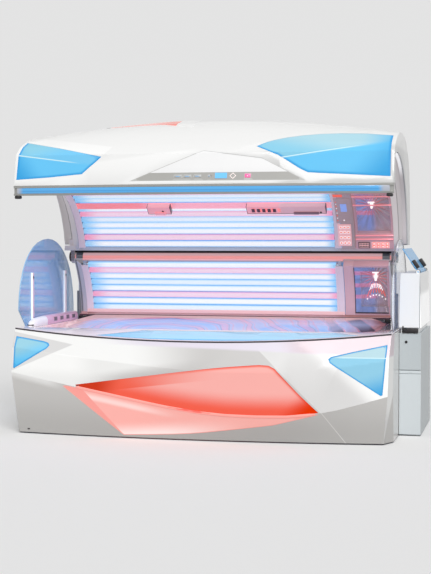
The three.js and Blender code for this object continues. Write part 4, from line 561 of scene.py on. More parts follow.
lid_acrylic = finish("lid_acrylic", "#7DBBEC", rough=0.2, coat=0.05, bump=0.0, alpha=0.96, shine=0.05)
window_acrylic = finish("window_acrylic", "#A6D3EC", rough=0.08, coat=0.5, bump=0.0)
blend_in(window_acrylic, along(window_acrylic, (-1, 0, 0), 0.30, 0.70), "#74BFEA")
blend_in(window_acrylic, along(window_acrylic, (0, -1, 0), 0.535, 0.556), "#6DB8E6")
# The window's glow is painted light, for the bench lamps shining through it.
glow_with_colour(window_acrylic, 0.12)
# The lying sheet's colours are painted reflections of the lamps: the pattern of blue, pink and dark streaks, the rose
# towards the head and the tints that change with the viewing angle. Its ripples and the less glossy dark streaks are
# real; its glow is painted lamp light.
lying_gloss = finish("lying_gloss", "#A9B9DC", rough=0.04, coat=0.3, bump=0.0, shine=0.2)
lying_tree = lying_gloss.node_tree
lying_place = node(lying_tree, "ShaderNodeTexCoord", (-1700, 0))
lying_from = node(lying_tree, "ShaderNodeVectorMath", (-1600, 0), operation="SUBTRACT")
lying_from.inputs[1].default_value = (-0.505, 0.0, 0.600)
lying_oval = node(lying_tree, "ShaderNodeVectorMath", (-1450, 0), operation="MULTIPLY")
lying_oval.inputs[1].default_value = (1.96, 1.0, 11.6)
painted_reflection_swirl = node(lying_tree, "ShaderNodeTexWave", (-1300, 0), wave_type="RINGS", rings_direction="Y")
painted_reflection_swirl.inputs["Scale"].default_value = 0.85
painted_reflection_swirl.inputs["Distortion"].default_value = 3.2
painted_reflection_swirl.inputs["Detail"].default_value = 1.5
painted_reflection_swirl.inputs["Detail Scale"].default_value = 1.6
tones = node(lying_tree, "ShaderNodeValToRGB", (-1000, 0))
stops = ((0.0, "#6FA8E0"), (0.20, "#86AEE0"), (0.34, "#9DAAD6"), (0.42, "#E35C80"), (0.50, "#AE9AC6"),
         (0.62, "#84A6DA"), (0.74, "#98A8D6"), (0.81, "#38446A"), (0.88, "#B58FB4"), (0.94, "#EC6E8C"), (1.0, "#D98AA6"))
for spot, tone in stops[1:-1]:
    tones.color_ramp.elements.new(spot).color = srgb(tone)
tones.color_ramp.elements[0].color = srgb(stops[0][1])
tones.color_ramp.elements[-1].color = srgb(stops[-1][1])
lying_tree.links.new(lying_place.outputs["Object"], lying_from.inputs[0])
lying_tree.links.new(lying_from.outputs[0], lying_oval.inputs[0])
lying_tree.links.new(lying_oval.outputs[0], painted_reflection_swirl.inputs["Vector"])
lying_tree.links.new(painted_reflection_swirl.outputs["Fac"], tones.inputs["Fac"])
lying_tree.links.new(tones.outputs["Color"], lying_tree.nodes["skin"].inputs["Colour"])
# Rose towards the head: painted reflection.
blend_in(lying_gloss, along(lying_gloss, (1, 0, 0), 0.62, 1.00), "#B27C82")
dark_wave = node(lying_tree, "ShaderNodeMapRange", (-1000, 300), interpolation_type="SMOOTHSTEP")
dark_wave.inputs["From Min"].default_value = 0.42
dark_wave.inputs["From Max"].default_value = 0.62
lying_tree.links.new(painted_reflection_swirl.outputs["Fac"], dark_wave.inputs["Value"])
dull_and_dark_reflection = both(lying_gloss, dark_wave.outputs["Result"], along(lying_gloss, (1, 0, 0), 0.46, 0.72))
blend_in(lying_gloss, dull_and_dark_reflection, "#46394A")
for socket, step, start in ((lying_tree.nodes["Principled BSDF"].inputs["Coat Weight"], -0.25, 0.3),
                            (lying_tree.nodes["skin"].inputs["Roughness"], 0.5, 0.04)):
    fade = node(lying_tree, "ShaderNodeMath", (-600, -700), operation="MULTIPLY_ADD")
    fade.inputs[1].default_value, fade.inputs[2].default_value = step, start
    lying_tree.links.new(dull_and_dark_reflection, fade.inputs[0])
    lying_tree.links.new(fade.outputs[0], socket)
beyond = away_from(lying_gloss, (-0.505, 0, 0.600), (1.96, 0, 11.6), 0.92, 1.06)
for centre, lobe in (((0.47, 0, 0.600), (2.9, 0, 18.0)), ((0.86, 0, 0.600), (4.2, 0, 11.0))):
    beyond = both(lying_gloss, beyond, away_from(lying_gloss, centre, lobe, 0.92, 1.06))
# Tints by viewing angle, seen from above and at a glance: painted reflections.
shallow = node(lying_tree, "ShaderNodeLayerWeight", (-1500, 400))
shallow.inputs["Blend"].default_value = 0.5
glance = node(lying_tree, "ShaderNodeMapRange", (-1300, 400), interpolation_type="SMOOTHSTEP")
glance.inputs["From Min"].default_value = 0.55
glance.inputs["From Max"].default_value = 0.85
lying_tree.links.new(shallow.outputs["Facing"], glance.inputs["Value"])
from_above = node(lying_tree, "ShaderNodeMapRange", (-1100, 600), interpolation_type="SMOOTHSTEP")
for label, value in (("From Min", 0.55), ("From Max", 0.85), ("To Min", 0.80), ("To Max", 0.0)):
    from_above.inputs[label].default_value = value
lying_tree.links.new(shallow.outputs["Facing"], from_above.inputs["Value"])
blend_in(lying_gloss, from_above.outputs["Result"], "#AEB9DE")
blend_in(lying_gloss, both(lying_gloss, beyond, glance.outputs["Result"]), "#EBC2C0")
waves = node(lying_tree, "ShaderNodeTexNoise", (-1300, -400))
waves.inputs["Scale"].default_value = 3.2
waves.inputs["Detail"].default_value = 1.0
ripple = node(lying_tree, "ShaderNodeBump", (-700, -400))
ripple.inputs["Strength"].default_value = 0.6
ripple.inputs["Distance"].default_value = 0.02
lying_tree.links.new(lying_place.outputs["Object"], waves.inputs["Vector"])
lying_tree.links.new(waves.outputs["Fac"], ripple.inputs["Height"])
lying_tree.links.new(ripple.outputs["Normal"], lying_tree.nodes["Principled BSDF"].inputs["Normal"])
lying_tree.links.new(ripple.outputs["Normal"], lying_tree.nodes["Principled BSDF"].inputs["Coat Normal"])
# The sheet's glow is painted lamp light.
glow_with_colour(lying_gloss, 0.24)
light_strip = finish("light_strip", "#4C9FD8", rough=0.12, coat=0.6)
groove = both(light_strip, along(light_strip, (0, 0, 1), 1.5225, 1.5250), along(light_strip, (0, 0, -1), -1.5300, -1.5275))
blend_in(light_strip, groove, "#3C8CC8")
strip_ends = both(light_strip, along(light_strip, (1, 0, 0), 1.035, 1.080), along(light_strip, (-1, 0, 0), 1.195, 1.240), "MAXIMUM")
blend_in(light_strip, strip_ends, "#A4A9B4")
glow_with_colour(light_strip, 0.31)


def lamp_glow(name, middle, rim, end, strength):
    """Lamp glass that shines, with its last hand's breadth fading to another colour."""
    material = finish(name, middle, rough=0.25, bump=0.0, cloud=0.02)
    back = node(material.node_tree, "ShaderNodeAttribute", (-1000, -200), attribute_name="back")
    blend_in(material, back.outputs["Fac"], end)
    facing = node(material.node_tree, "ShaderNodeLayerWeight", (-1300, 300))
    facing.inputs["Blend"].default_value = 0.5
    turned = node(material.node_tree, "ShaderNodeMapRange", (-1100, 300), interpolation_type="SMOOTHSTEP")
    turned.inputs["From Min"].default_value = 0.15
    turned.inputs["From Max"].default_value = 0.70
    material.node_tree.links.new(facing.outputs["Facing"], turned.inputs["Value"])
    blend_in(material, turned.outputs["Result"], rim)
    left = along(material, (-1, 0, 0), 0.90, 1.05)
    right = along(material, (1, 0, 0), 0.60, 0.67)
    blend_in(material, both(material, left, right, "MAXIMUM"), end)
    glow_with_colour(material, strength)
    shader = material.node_tree.nodes["Principled BSDF"]
    material.node_tree.links.remove(shader.inputs["Base Color"].links[0])
    shader.inputs["Base Color"].default_value = (0.10, 0.12, 0.15, 1.0)
    return material


lamp_white = lamp_glow("lamp_white", "#FBFBFE", "#BBDDF6", "#8CC8F2", 0.98)
lamp_blue = lamp_glow("lamp_blue", "#E9F2FB", "#A5D2F2", "#7DC0EE", 0.98)
lamp_pink = lamp_glow("lamp_pink", "#F9D3E1", "#F4A3C3", "#F48BAE", 0.98)
band_red = finish("air_band_red", "#F07F80", rough=0.25, bump=0.0)
blend_in(band_red, along(band_red, (1, 0, 0), -0.62, -0.52), "#F3A3AC")
# The band's glow is painted lamp light; the band is no lamp.
glow_with_colour(band_red, 0.72)
cap_metal = finish("lamp_cap_metal", "#BFC6CE", rough=0.25, metal=0.8)
holder_white = finish("lamp_holder_white", "#C9D5E4", rough=0.4)
print("lit finishes ready")

# %% [markdown]
# ## Softened copies of the CAD shapes
# A moulded edge is never knife sharp. A copy of a CAD node is merged, its flat triangles are joined
# and its sharp edges get a small round, which catches the light. Where a node is hidden inside the
# bed, the plain CAD mesh stays and only gets its material.

# %% Softened copies
body_of_node = {name: nodes[name]["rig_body"] for name in nodes}


def as_piece(name, bm, materials, body, smooth=32.0, replaces=(), flat_from=None):
    """Turn a bmesh into a piece that rides on a body; faces from a size up stay flat."""
    mesh = bpy.data.meshes.new(name)
    bm.normal_update()
    bm.to_mesh(mesh)
    bm.free()
    for material in materials:
        mesh.materials.append(material)
    mesh.shade_smooth()
    mesh.set_sharp_from_angle(angle=math.radians(smooth))
    if flat_from:
        for polygon in mesh.polygons:
            polygon.use_smooth = polygon.area < flat_from
    piece = bpy.data.objects.new(name, mesh)
    scene.collection.objects.link(piece)
    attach(piece, body)
    if replaces:
        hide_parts(*replaces)
    return piece


def merged_copy(node_name, flat=0.5):
    bm = bmesh.new()
    bm.from_mesh(nodes[node_name].data)
    for face in bm.faces:
        face.material_index = 0
    bmesh.ops.remove_doubles(bm, verts=bm.verts, dist=1e-5)
    bmesh.ops.dissolve_limit(bm, angle_limit=math.radians(flat), verts=bm.verts, edges=bm.edges)
    return bm


def round_edges(bm, width, angle=40.0, segments=2):
    """Round every edge that turns by more than an angle."""
    sharp = [e for e in bm.edges if len(e.link_faces) == 2 and e.calc_face_angle() > math.radians(angle)]
    bmesh.ops.bevel(bm, geom=sharp, offset=width, offset_type="OFFSET", segments=segments, profile=0.5,
                    affect="EDGES", clamp_overlap=True, material=-1)
    return len(sharp)


FLAT_SIDED = ("tower_lid", "tower_hood", "cabinet_body", "cabinet_lower_door",
              "cabinet_upper_door", "light_profile", "base_end_left", "base_end_right")


def soften(node_name, material, width=0.0015, smooth=32.0, angle=40.0, segments=2):
    bm = merged_copy(node_name)
    rounded = round_edges(bm, width, angle, segments)
    flat_from = 0.002 if node_name in FLAT_SIDED else None
    piece = as_piece(node_name + "_soft", bm, [material], body_of_node[node_name], smooth, (node_name,),
                     flat_from)
    print(node_name, "edges rounded:", rounded, "faces:", len(piece.data.polygons))
    return piece


for name, material, width in (
    ("canopy_shell", canopy_white, 0.003),
    ("base_end_left", white_gloss, 0.002), ("base_end_right", white_gloss, 0.002),
    ("light_profile", aluminium, 0.0015),
    ("foot_air_pod", pod_rose, 0.004), ("hinge_rail", rose_metal, 0.0008),
    ("canopy_frame", frame_metal, 0.0015), ("wall_frame", wall_metal, 0.0015),
    ("console", console_skin, 0.003), ("face_tanner", tanner_shell, 0.003),
    ("shoulder_tanner", tanner_shell, 0.003), ("air_nozzle_left", nozzle_rose, 0.003),
    ("air_nozzle_right", nozzle_rose, 0.003), ("nozzle_flap_left", flap_rose, 0.002),
    ("nozzle_flap_right", flap_grey, 0.002), ("tower_hood", tower_white, 0.003),
    ("tower_lid", lid_acrylic, 0.0015), ("cabinet_body", cabinet_paint, 0.002),
    ("cabinet_lower_door", door_paint, 0.002), ("cabinet_upper_door", cabinet_paint, 0.002),
    ("door_lock", dark_rubber, 0.0008),
    ("key_left", key_grey, 0.001), ("key_middle", key_grey, 0.001), ("key_right", key_grey, 0.001),
    ("key_round", key_grey, 0.001), ("key_start", key_pink, 0.001), ("console_key", key_grey, 0.002),
    ("light_lens", light_strip, 0.001), ("lying_acrylic", lying_gloss, 0.003),
    ("cooling_unit", unit_paint, 0.002), ("fragrance_canister", canister_white, 0.004),
):
    soften(name, material, width)

for name, material in (
    ("base_frame", painted_steel), ("base_rear_cover", rear_white), ("canopy_acrylic", clear_acrylic),
    ("wall_acrylic", clear_acrylic), ("canopy_reflector", mirror), ("wall_reflector", wall_mirror),
    ("bench_lamp_tray", tray_mirror), ("ballast_bank", painted_steel), ("fan_housing", painted_steel),
    ("fan_rotor", dark_rubber), ("lift_body_left", painted_steel), ("lift_body_right", painted_steel),
    ("lift_rod_left", chrome), ("lift_rod_right", chrome),
):
    for index in range(max(1, len(nodes[name].material_slots))):
        nodes[name].material_slots[index].material = material
seam_dark = finish("seam_dark", "#3A3438", rough=0.5, cloud=0.15, grain=700)
window_edge = finish("window_edge", "#2C7FC6", rough=0.2, coat=0.3, cloud=0.08)
for name, materials in (("bench_rim", [deck_gloss, seam_dark]), ("bench_window", [window_acrylic, window_edge])):
    bm = merged_copy(name)
    for face in bm.faces:
        face.material_index = 1 if face.normal.y < -0.55 and face.calc_center_median().y < -0.40 else 0
    round_edges(bm, 0.0015, 40.0)
    as_piece(name + "_soft", bm, materials, "base", 32.0, (name,))

for name, materials in (("fin_left", [fin_bowed, fin_edge_blue]), ("fin_right", [fin_acrylic, fin_edge_grey])):
    bm = merged_copy(name)
    for face in bm.faces:
        face.material_index = 1 if abs(face.normal.x) < 0.5 else 0
    round_edges(bm, 0.002)
    as_piece(name + "_soft", bm, materials, "base", 32.0, (name,), 0.002)

cover = merged_copy("base_front_cover")
# Faces that turn down and forward take the skirt's painted shade.
for face in cover.faces:
    face.material_index = 1 if face.normal.z < -0.04 and face.normal.y < -0.4 else 0
round_edges(cover, 0.002, 40.0)
cover_piece = as_piece("base_front_cover_soft", cover, [cover_white, skirt_painted_shade], "base", 14.0,
                       ("base_front_cover",))
print("cover faces:", len(cover_piece.data.polygons))
shown_nodes = [n for n in nodes if not nodes[n].hide_render]
print("nodes still shown as CAD:", shown_nodes)

# %% [markdown]
# ## Coloured light lenses
# Six lenses sit flush in the white shells and are lit from behind; that glow is painted light. Each is cut into a fine
# grid with bisect planes, so that two measures can be kept on its points: how far a point is from the lens's edge, and
# how far from the crease where the red and the pink lens meet. The colours then deepen towards the rim and along the
# crease, as they do where the plastic turns in.

# %% Lens grid and its two measures
CREASE = []


def crease_height(x):
    for (x0, z0), (x1, z1) in zip(CREASE, CREASE[1:]):
        if x <= x1:
            break
    return z0 + (z1 - z0) * (x - x0) / (x1 - x0)


def cut_grid(bm, step, axes):
    for axis in axes:
        spots = [v.co[axis] for v in bm.verts]
        normal = [0, 0, 0]
        normal[axis] = 1
        for k in range(math.ceil(min(spots) / step), math.floor(max(spots) / step) + 1):
            at = [0, 0, 0]
            at[axis] = k * step
            bmesh.ops.bisect_plane(bm, geom=[*bm.verts, *bm.edges, *bm.faces], dist=1e-6, plane_co=at,
                                   plane_no=normal)


def make_lens(node_name, material, facing, axes=(0, 2)):
    bm = merged_copy(node_name)
    cut_grid(bm, 0.014, axes)
    facing = Vector(facing)
    front = {f for f in bm.faces if f.normal.dot(facing) > 0.35}
    rim_edges = [e for e in bm.edges if len({f in front for f in e.link_faces}) == 2]
    spots = [v.co.copy() for e in rim_edges for v in e.verts]
    spots += [(e.verts[0].co + e.verts[1].co) / 2 for e in rim_edges]
    if node_name == "base_lens_upper":
        low = sorted((v.co.x, v.co.z) for e in rim_edges for v in e.verts if v.co.z < 0.33)
        CREASE.extend(p for p in low[::6] if all(q[1] > p[1] - 0.03 for q in low if abs(q[0] - p[0]) < 0.01))
    tree = KDTree(len(spots))
    for index, spot in enumerate(spots):
        tree.insert(spot, index)
    tree.balance()
    inset, fall = bm.verts.layers.float.new("inset"), bm.verts.layers.float.new("fall")
    for vert in bm.verts:
        on_front = any(f in front for f in vert.link_faces)
        vert[inset] = tree.find(vert.co)[2] if on_front else 0.0
        vert[fall] = abs(vert.co.z - crease_height(vert.co.x)) if CREASE else 0.0
    return as_piece(node_name + "_lit", bm, [material], body_of_node[node_name], 40.0, (node_name,))


def measure(material, name, start, end):
    """A mask from a measure kept on the points: 1 at start, falling to 0 at end."""
    tree = material.node_tree
    reader = node(tree, "ShaderNodeAttribute", (-1300, -200), attribute_name=name)
    reach = node(tree, "ShaderNodeMapRange", (-1100, -200), interpolation_type="SMOOTHSTEP")
    reach.inputs["From Min"].default_value = start
    reach.inputs["From Max"].default_value = end
    reach.inputs["To Min"].default_value = 1.0
    reach.inputs["To Max"].default_value = 0.0
    tree.links.new(reader.outputs["Fac"], reach.inputs["Value"])
    return reach.outputs["Result"]


print("a lens is cut every 14 mm")

# %% [markdown]
# Each lens has its own change of colour. The canopy pair has a fine pale crease, a painted highlight, with a lighter
# face above it, painted light where the face tilts up. The red lens is deep at both tips and along its lower edge; the
# pink one is folded once, with painted shade beyond the fold and a painted sheen beside it, and is pale at the bottom.
# All are painted with the line masks from above, so they stay on the part from every side.

# %% Lens colours
lens_look = {"rough": 0.32, "coat": 0.02, "cloud": 0.04, "bump": 0.01, "spread": 0.03, "shine": 0.0}
blue_left = finish("blue_lens_canopy_left", "#6AC3F1", **lens_look)
# Paler above the crease, where the face tilts up: painted light.
upper = past_line(blue_left, (-1.27, 1.758), (-0.806, 1.697), 0.03)
blend_in(blue_left, upper, "#79C6EE")
blend_in(blue_left, both(blue_left, upper, along(blue_left, (-0.3, 0, 1), 2.02, 2.16)), "#8CC8DE")
blend_in(blue_left, along(blue_left, (-1, 0, -0.8), -0.26, -0.04), "#3FA3DE")

blue_right = finish("blue_lens_canopy_right", "#6CC4F1", **lens_look)
# Paler above the crease, where the face tilts up: painted light.
upper = past_line(blue_right, (0.517, 1.728), (0.983, 1.799), 0.03)
blend_in(blue_right, upper, "#8BC9E2")
blend_in(blue_right, both(blue_right, upper, along(blue_right, (0.2, 0, 1), 1.86, 1.98)), "#AED5E2")
blend_in(blue_right, along(blue_right, (1, 0, 0), 0.90, 1.16), "#6CBFEA")
blend_in(blue_right, along(blue_right, (1, 0, -1), -0.82, -0.50), "#3FA3DE")

blue_base_left = finish("blue_lens_base_left", "#6CC6F3", **lens_look)
blend_in(blue_base_left, along(blue_base_left, (-0.35, 0, 1), 0.86, 0.98), "#99CBDC")
blend_in(blue_base_left, along(blue_base_left, (0, 0, -1), -0.50, -0.42), "#5ABCEE")

blue_base_right = finish("blue_lens_base_right", "#92CBE4", **lens_look)
# Paler above the crease: painted light.
blend_in(blue_base_right, along(blue_base_right, (0, 0, 1), 0.515, 0.525), "#B8D7E0")
blend_in(blue_base_right, along(blue_base_right, (0.3, 0, -1), -0.13, 0.02), "#4AA8DF")

for material, reach in ((blue_left, 0.020), (blue_right, 0.020), (blue_base_left, 0.014),
                        (blue_base_right, 0.011)):
    blend_in(material, measure(material, "inset", 0.002, reach), "#3F9FDE")

# Fine pale lines along the creases: painted highlights.
for material, lower, higher, fade in (
    (blue_left, ((-1.27, 1.755), (-0.806, 1.694)), ((-1.27, 1.762), (-0.806, 1.700)), ((-1, 0, 0), 0.80, 0.95)),
    (blue_right, ((0.517, 1.724), (0.983, 1.796)), ((0.517, 1.731), (0.983, 1.802)), ((-1, 0, 0), -1.0, -0.8)),
    (blue_base_right, ((0.7, 0.518), (1.1, 0.518)), ((0.7, 0.524), (1.1, 0.524)), ((1, 0, 0), 0.78, 0.86)),
):
    under = past_line(material, *lower, 0.003)
    over = past_line(material, *higher, 0.003)
    line = both(material, both(material, under, over, "SUBTRACT"), along(material, *fade))
    blend_in(material, line, "#CDEBF2")

red_lens = finish("red_lens", "#F3AEA7", **lens_look)
blend_in(red_lens, measure(red_lens, "fall", 0.02, 0.14), "#EE604C")
shaded = both(red_lens, past_line(red_lens, (-0.613, 0.296), (0.065, 0.378), 0.006),
              along(red_lens, (-1, 0, 0), -0.12, 0.62))
blend_in(red_lens, shaded, "#EA5F49")
blend_in(red_lens, both(red_lens, measure(red_lens, "inset", 0.0, 0.02),
                        along(red_lens, (1, 0, 0), -0.6, 0.2)), "#EC5F4C")
blend_in(red_lens, along(red_lens, (-1, 0, 0.3), 0.60, 0.78), "#C83A20")
blend_in(red_lens, along(red_lens, (1, 0, -1.1), 0.24, 0.43), "#DF3405")

pink_lens = finish("pink_lens", "#F4AFA7", **lens_look)
blend_in(pink_lens, both(pink_lens, along(pink_lens, (0.08, 0, -1), -0.15, -0.03),
                         along(pink_lens, (-1, 0, 0), -0.35, 0.30)), "#FCEFEC")
# A pale band beside the fold: a painted sheen.
stripe = both(pink_lens, measure(pink_lens, "fall", 0.055, 0.08), measure(pink_lens, "fall", 0.02, 0.05), "SUBTRACT")
blend_in(pink_lens, both(pink_lens, stripe, along(pink_lens, (-1, 0, 0), 0.10, 0.45)), "#F9D2CD")
# Deeper beyond the fold: painted shade of the turned facet.
folded = past_line(pink_lens, (-0.501, 0.015), (-0.777, 0.316), 0.004)
blend_in(pink_lens, folded, "#F29E96")
blend_in(pink_lens, measure(pink_lens, "inset", 0.0, 0.008), "#F3A198")

accent_red = finish("accent_red", "#F5A9A1", rough=0.25, coat=0.5, cloud=0.05)
blend_in(accent_red, along(accent_red, (1, 0, 0), -0.50, -0.32), "#EE6A55")

# The lenses' and the accent's glow is painted light; the pink lens, which faces down, gets the most.
for material, strength in ((blue_left, 0.10), (blue_right, 0.10), (blue_base_left, 0.10), (blue_base_right, 0.10),
                           (red_lens, 0.12), (pink_lens, 0.33), (accent_red, 0.15)):
    glow_with_colour(material, strength)

for name, material, facing, axes in (
    ("canopy_lens_left", blue_left, (0, -1, 0.4), (0, 2)), ("canopy_lens_right", blue_right, (0, -1, 0.4), (0, 2)),
    ("base_lens_left", blue_base_left, (0, -1, 0), (0, 2)), ("base_lens_right", blue_base_right, (0, -1, 0), (0, 2)),
    ("base_lens_upper", red_lens, (0, -1, 0), (0, 2)), ("base_lens_lower", pink_lens, (0, -1, 0), (0, 2)),
    ("canopy_accent", accent_red, (0, 0, 1), (0, 1)),
):
    piece = make_lens(name, material, facing, axes)
    print(piece.name, "faces:", len(piece.data.polygons))

# %% [markdown]
# The red and the pink lens are one moulding with a fold between them. The CAD model keeps a narrow web
# there, so a thin strip is draped over it: a grid that follows the crease, laid on the skins by rays.

# %% Joint between the red and the pink lens
skins = [BVHTree.FromBMesh(merged_copy(n)) for n in ("base_front_cover", "base_lens_upper", "base_lens_lower")]
bm = bmesh.new()
made = bmesh.ops.create_grid(bm, x_segments=110, y_segments=4, size=0.5)
for vert in made["verts"]:
    x = CREASE[0][0] + 0.004 + (vert.co.x + 0.5) * (CREASE[-1][0] - CREASE[0][0] - 0.019)
    level = crease_height(min(x, 0.650)) + 0.04 * max(0.0, x - 0.650)
    z = level + 0.0015 + 0.0155 * min(1.0, 0.25 + (0.700 - x) / 0.08) * (vert.co.y - 0.5)
    hits = [skin_tree.ray_cast(Vector((x + dx, -2.0, z + dz)), Vector((0, 1, 0)))[0] for skin_tree in skins
            for dx, dz in ((0, 0), (0.002, 0), (-0.002, 0), (0, 0.002), (0, -0.002))]
    vert.co = (x, max(-0.6703, min(hit.y for hit in hits if hit) - 0.0012), z)
bmesh.ops.solidify(bm, geom=bm.faces[:], thickness=0.0010)
bmesh.ops.recalc_face_normals(bm, faces=bm.faces)
joint = as_piece("lens_joint", bm, [pink_lens], "base", 40.0)
print("lens joint from", round(CREASE[0][0], 3), "to", round(CREASE[-1][0], 3), "front", round(min(v.co.y for v in joint.data.vertices), 4))

# %% [markdown]
# The white covers are folded like paper between the lenses. The folds are too shallow to change the outline, so they
# are made in the material: a line on the front, past which the surface tilts, or takes a greyer tone that is painted
# shade or a paler one that is painted light. Under the deck's seam a lilac tint, which turns rose towards the head, is
# painted lamp light.

# %% Folds of the white covers
add_folds(cover_white, [((0.66, 0.545), (0.98, 0.262), -0.14, 0.05)])
# Greyer in the dip above the red lens: painted shade.
hollow_painted_shade = both(cover_white, along(cover_white, (1, 0, 0.2), -0.40, 0.16),
              past_line(cover_white, (0.735, 0.181), (0.347, 0.547), 0.012))
blend_in(cover_white, hollow_painted_shade, "#CBC9C7")
# Greyer along the red lens's upper edge: painted shade.
near_lens_painted_shade = both(cover_white, past_line(cover_white, (0.45, 0.545), (-0.80, 0.365), 0.07),
                 past_line(cover_white, (0.735, 0.181), (0.347, 0.547), 0.012))
blend_in(cover_white, both(cover_white, near_lens_painted_shade, along(cover_white, (1, 0, 0), -0.86, -0.45)), "#CAC8C6")
# The right facet a little grey: painted shade.
flank_painted_shade = both(cover_white, past_line(cover_white, (0.347, 0.547), (0.735, 0.181), 0.012),
             past_line(cover_white, (1.03, 0.262), (0.70, 0.560), 0.10))
blend_in(cover_white, flank_painted_shade, "#DFDEDD")
# Grey in the fold beside the left lens: painted shade.
valley_painted_shade = both(cover_white, past_line(cover_white, (-1.258, 0.396), (-0.878, 0.556), 0.008),
              past_line(cover_white, (-0.776, 0.557), (-0.97, 0.590), 0.008))
blend_in(cover_white, both(cover_white, valley_painted_shade, along(cover_white, (-1, 0, 0), 0.80, 0.88)), "#DAD9D8")
# A lilac tint under the deck's seam, rose towards the head: painted lamp light.
under_seam_painted_lamp_light = both(cover_white, past_line(cover_white, (-0.578, 0.578), (0.657, 0.543), 0.02),
                  along(cover_white, (1, 0, 0), -0.75, -0.30))
blend_in(cover_white, under_seam_painted_lamp_light, "#E5DEEB")
blend_in(cover_white, both(cover_white, under_seam_painted_lamp_light, along(cover_white, (1, 0, 0.4), 0.66, 0.86)), "#DCC8D0")
# A painted highlight on the cover's left facet, just above the crease.
bright = both(cover_white, past_line(cover_white, (-0.183, 0.436), (-0.949, 0.5135), 0.004),
              both(cover_white, along(cover_white, (-1, 0, 0), 0.66, 0.86), along(cover_white, (0, 0, 1), 0.35, 0.44)))
paint_light_where(cover_white, bright, "#FFFFFF", 0.10)
# The canopy front a touch whiter than its roof, and a whiter facet by the left lens: painted light.
canopy_front_painted_light = past_line(canopy_white, (-0.239, 1.761), (-1.27, 1.640), 0.02)
blend_in(canopy_white, both(canopy_white, canopy_front_painted_light, along(canopy_white, (-1, 0, 0), 0.0, 0.20)), "#F8F8F7")
wedge_painted_light = both(canopy_white, past_line(canopy_white, (-0.632, 1.803), (-1.19, 1.879), 0.004),
             past_line(canopy_white, (-0.676, 1.739), (-0.632, 1.803), 0.004))
blend_in(canopy_white, wedge_painted_light, "#F8F8F7")
# A greyer band beside the right lens: painted shade.
lens_rim_painted_shade = both(canopy_white, past_line(canopy_white, (1.25, 1.800), (0.35, 1.745), 0.03),
                along(canopy_white, (1, 0, 0.5), 1.18, 1.30))
blend_in(canopy_white, lens_rim_painted_shade, "#D9D9D8")
# The skirt paler where it turns in at the left: painted light.
skirt_turn_painted_light = both(skirt_painted_shade, past_line(skirt_painted_shade, (-1.23, 0.3625), (-0.892, 0.2955), 0.045),
               along(skirt_painted_shade, (-1, 0, 0), 0.86, 1.02))
blend_in(skirt_painted_shade, skirt_turn_painted_light, "#FBFAF8")
# A fine paler line along a crease of the skirt's right facet: a painted highlight.
under = past_line(skirt_painted_shade, (0.868, -0.005), (0.724, 0.190), 0.002)
over = past_line(skirt_painted_shade, (0.874, -0.005), (0.730, 0.190), 0.002)
blend_in(skirt_painted_shade, both(skirt_painted_shade, over, under, "SUBTRACT"), "#E6E4E1")
print("tones on the base cover, its skirt and the canopy: 11")

# %% [markdown]
# ## Control fascia
# The upper part is a bare white panel and the lower part a grey strip with the keys. They are one
# moulding, so one material splits the two tones at a height, with a fine line between them.

# %% Control fascia
fascia = finish("fascia_two_tone", "#B3B2AE", rough=0.32, coat=0.1, cloud=0.04, shine=0.3)
blend_in(fascia, along(fascia, (0, 0, 1), 1.6315, 1.6325), "#F6F6F6")
blend_in(fascia, measure(fascia, "inset", 0.001, 0.005), "#C9C9C6")
make_lens("control_fascia", fascia, (0, -1, 0.2))
front_skin = BVHTree.FromBMesh(merged_copy("control_fascia"))


def front_at(x, z):
    """The depth of the fascia's face at a place on the front."""
    return front_skin.ray_cast(Vector((x, -2.0, z)), Vector((0, 1, 0)))[0].y


def face_plate(bm, x0, x1, z0, z1, lift, index):
    """A thin plate laid on the fascia's face."""
    made = bmesh.ops.create_grid(bm, x_segments=6, y_segments=2, size=0.5)
    for vert in made["verts"]:
        x, z = x0 + (vert.co.x + 0.5) * (x1 - x0), z0 + (vert.co.y + 0.5) * (z1 - z0)
        vert.co = (x, front_at(x, z) - lift, z)
    faces = list({f for v in made["verts"] for f in v.link_faces})
    bmesh.ops.solidify(bm, geom=faces, thickness=-lift)
    for face in {f for v in bm.verts for f in v.link_faces if f.material_index == 0}:
        face.material_index = index


print("fascia at the middle of the strip:", round(front_at(0.1, 1.61), 4))

# %% [markdown]
# ## Lamp tubes
# The CAD model holds each bank as one solid. Here every tube is made as glass with two metal caps.
# A tube is a cone operator with equal radii; the rims of its caps get a small round. The banks are arcs, so a lamp's
# place follows from its angle.

# %% Lamp tubes
LAMP_LEFT, LAMP_RIGHT = -1.06915, 0.69085
CANOPY_ARC = (-0.220865, 1.046258)
WALL_ARC = (-0.1535, 0.664)
ACROSS = Matrix.Rotation(math.pi / 2, 4, "Y")


def on_arc(centre, radius, angle, x=0.0):
    turn = math.radians(angle)
    return Vector((x, centre[0] + radius * math.cos(turn), centre[1] + radius * math.sin(turn)))


def add_rod(bm, start, end, radius, index=0, segments=24, edge=0.0):
    """A closed rod between two points, with its rims rounded when an edge width is given."""
    way = Vector(end) - Vector(start)
    turn = way.to_track_quat("Z", "Y").to_matrix().to_4x4()
    middle = Matrix.Translation((Vector(start) + Vector(end)) / 2)
    made = bmesh.ops.create_cone(bm, cap_ends=True, segments=segments, radius1=radius, radius2=radius,
                                 depth=way.length, matrix=middle @ turn)
    faces = {f for v in made["verts"] for f in v.link_faces}
    for face in faces:
        face.material_index = index
    if edge:
        rims = [e for f in faces if len(f.verts) > 4 for e in f.edges]
        bmesh.ops.bevel(bm, geom=rims, offset=edge, offset_type="OFFSET", segments=2, profile=0.5,
                        affect="EDGES", clamp_overlap=True, material=-1)


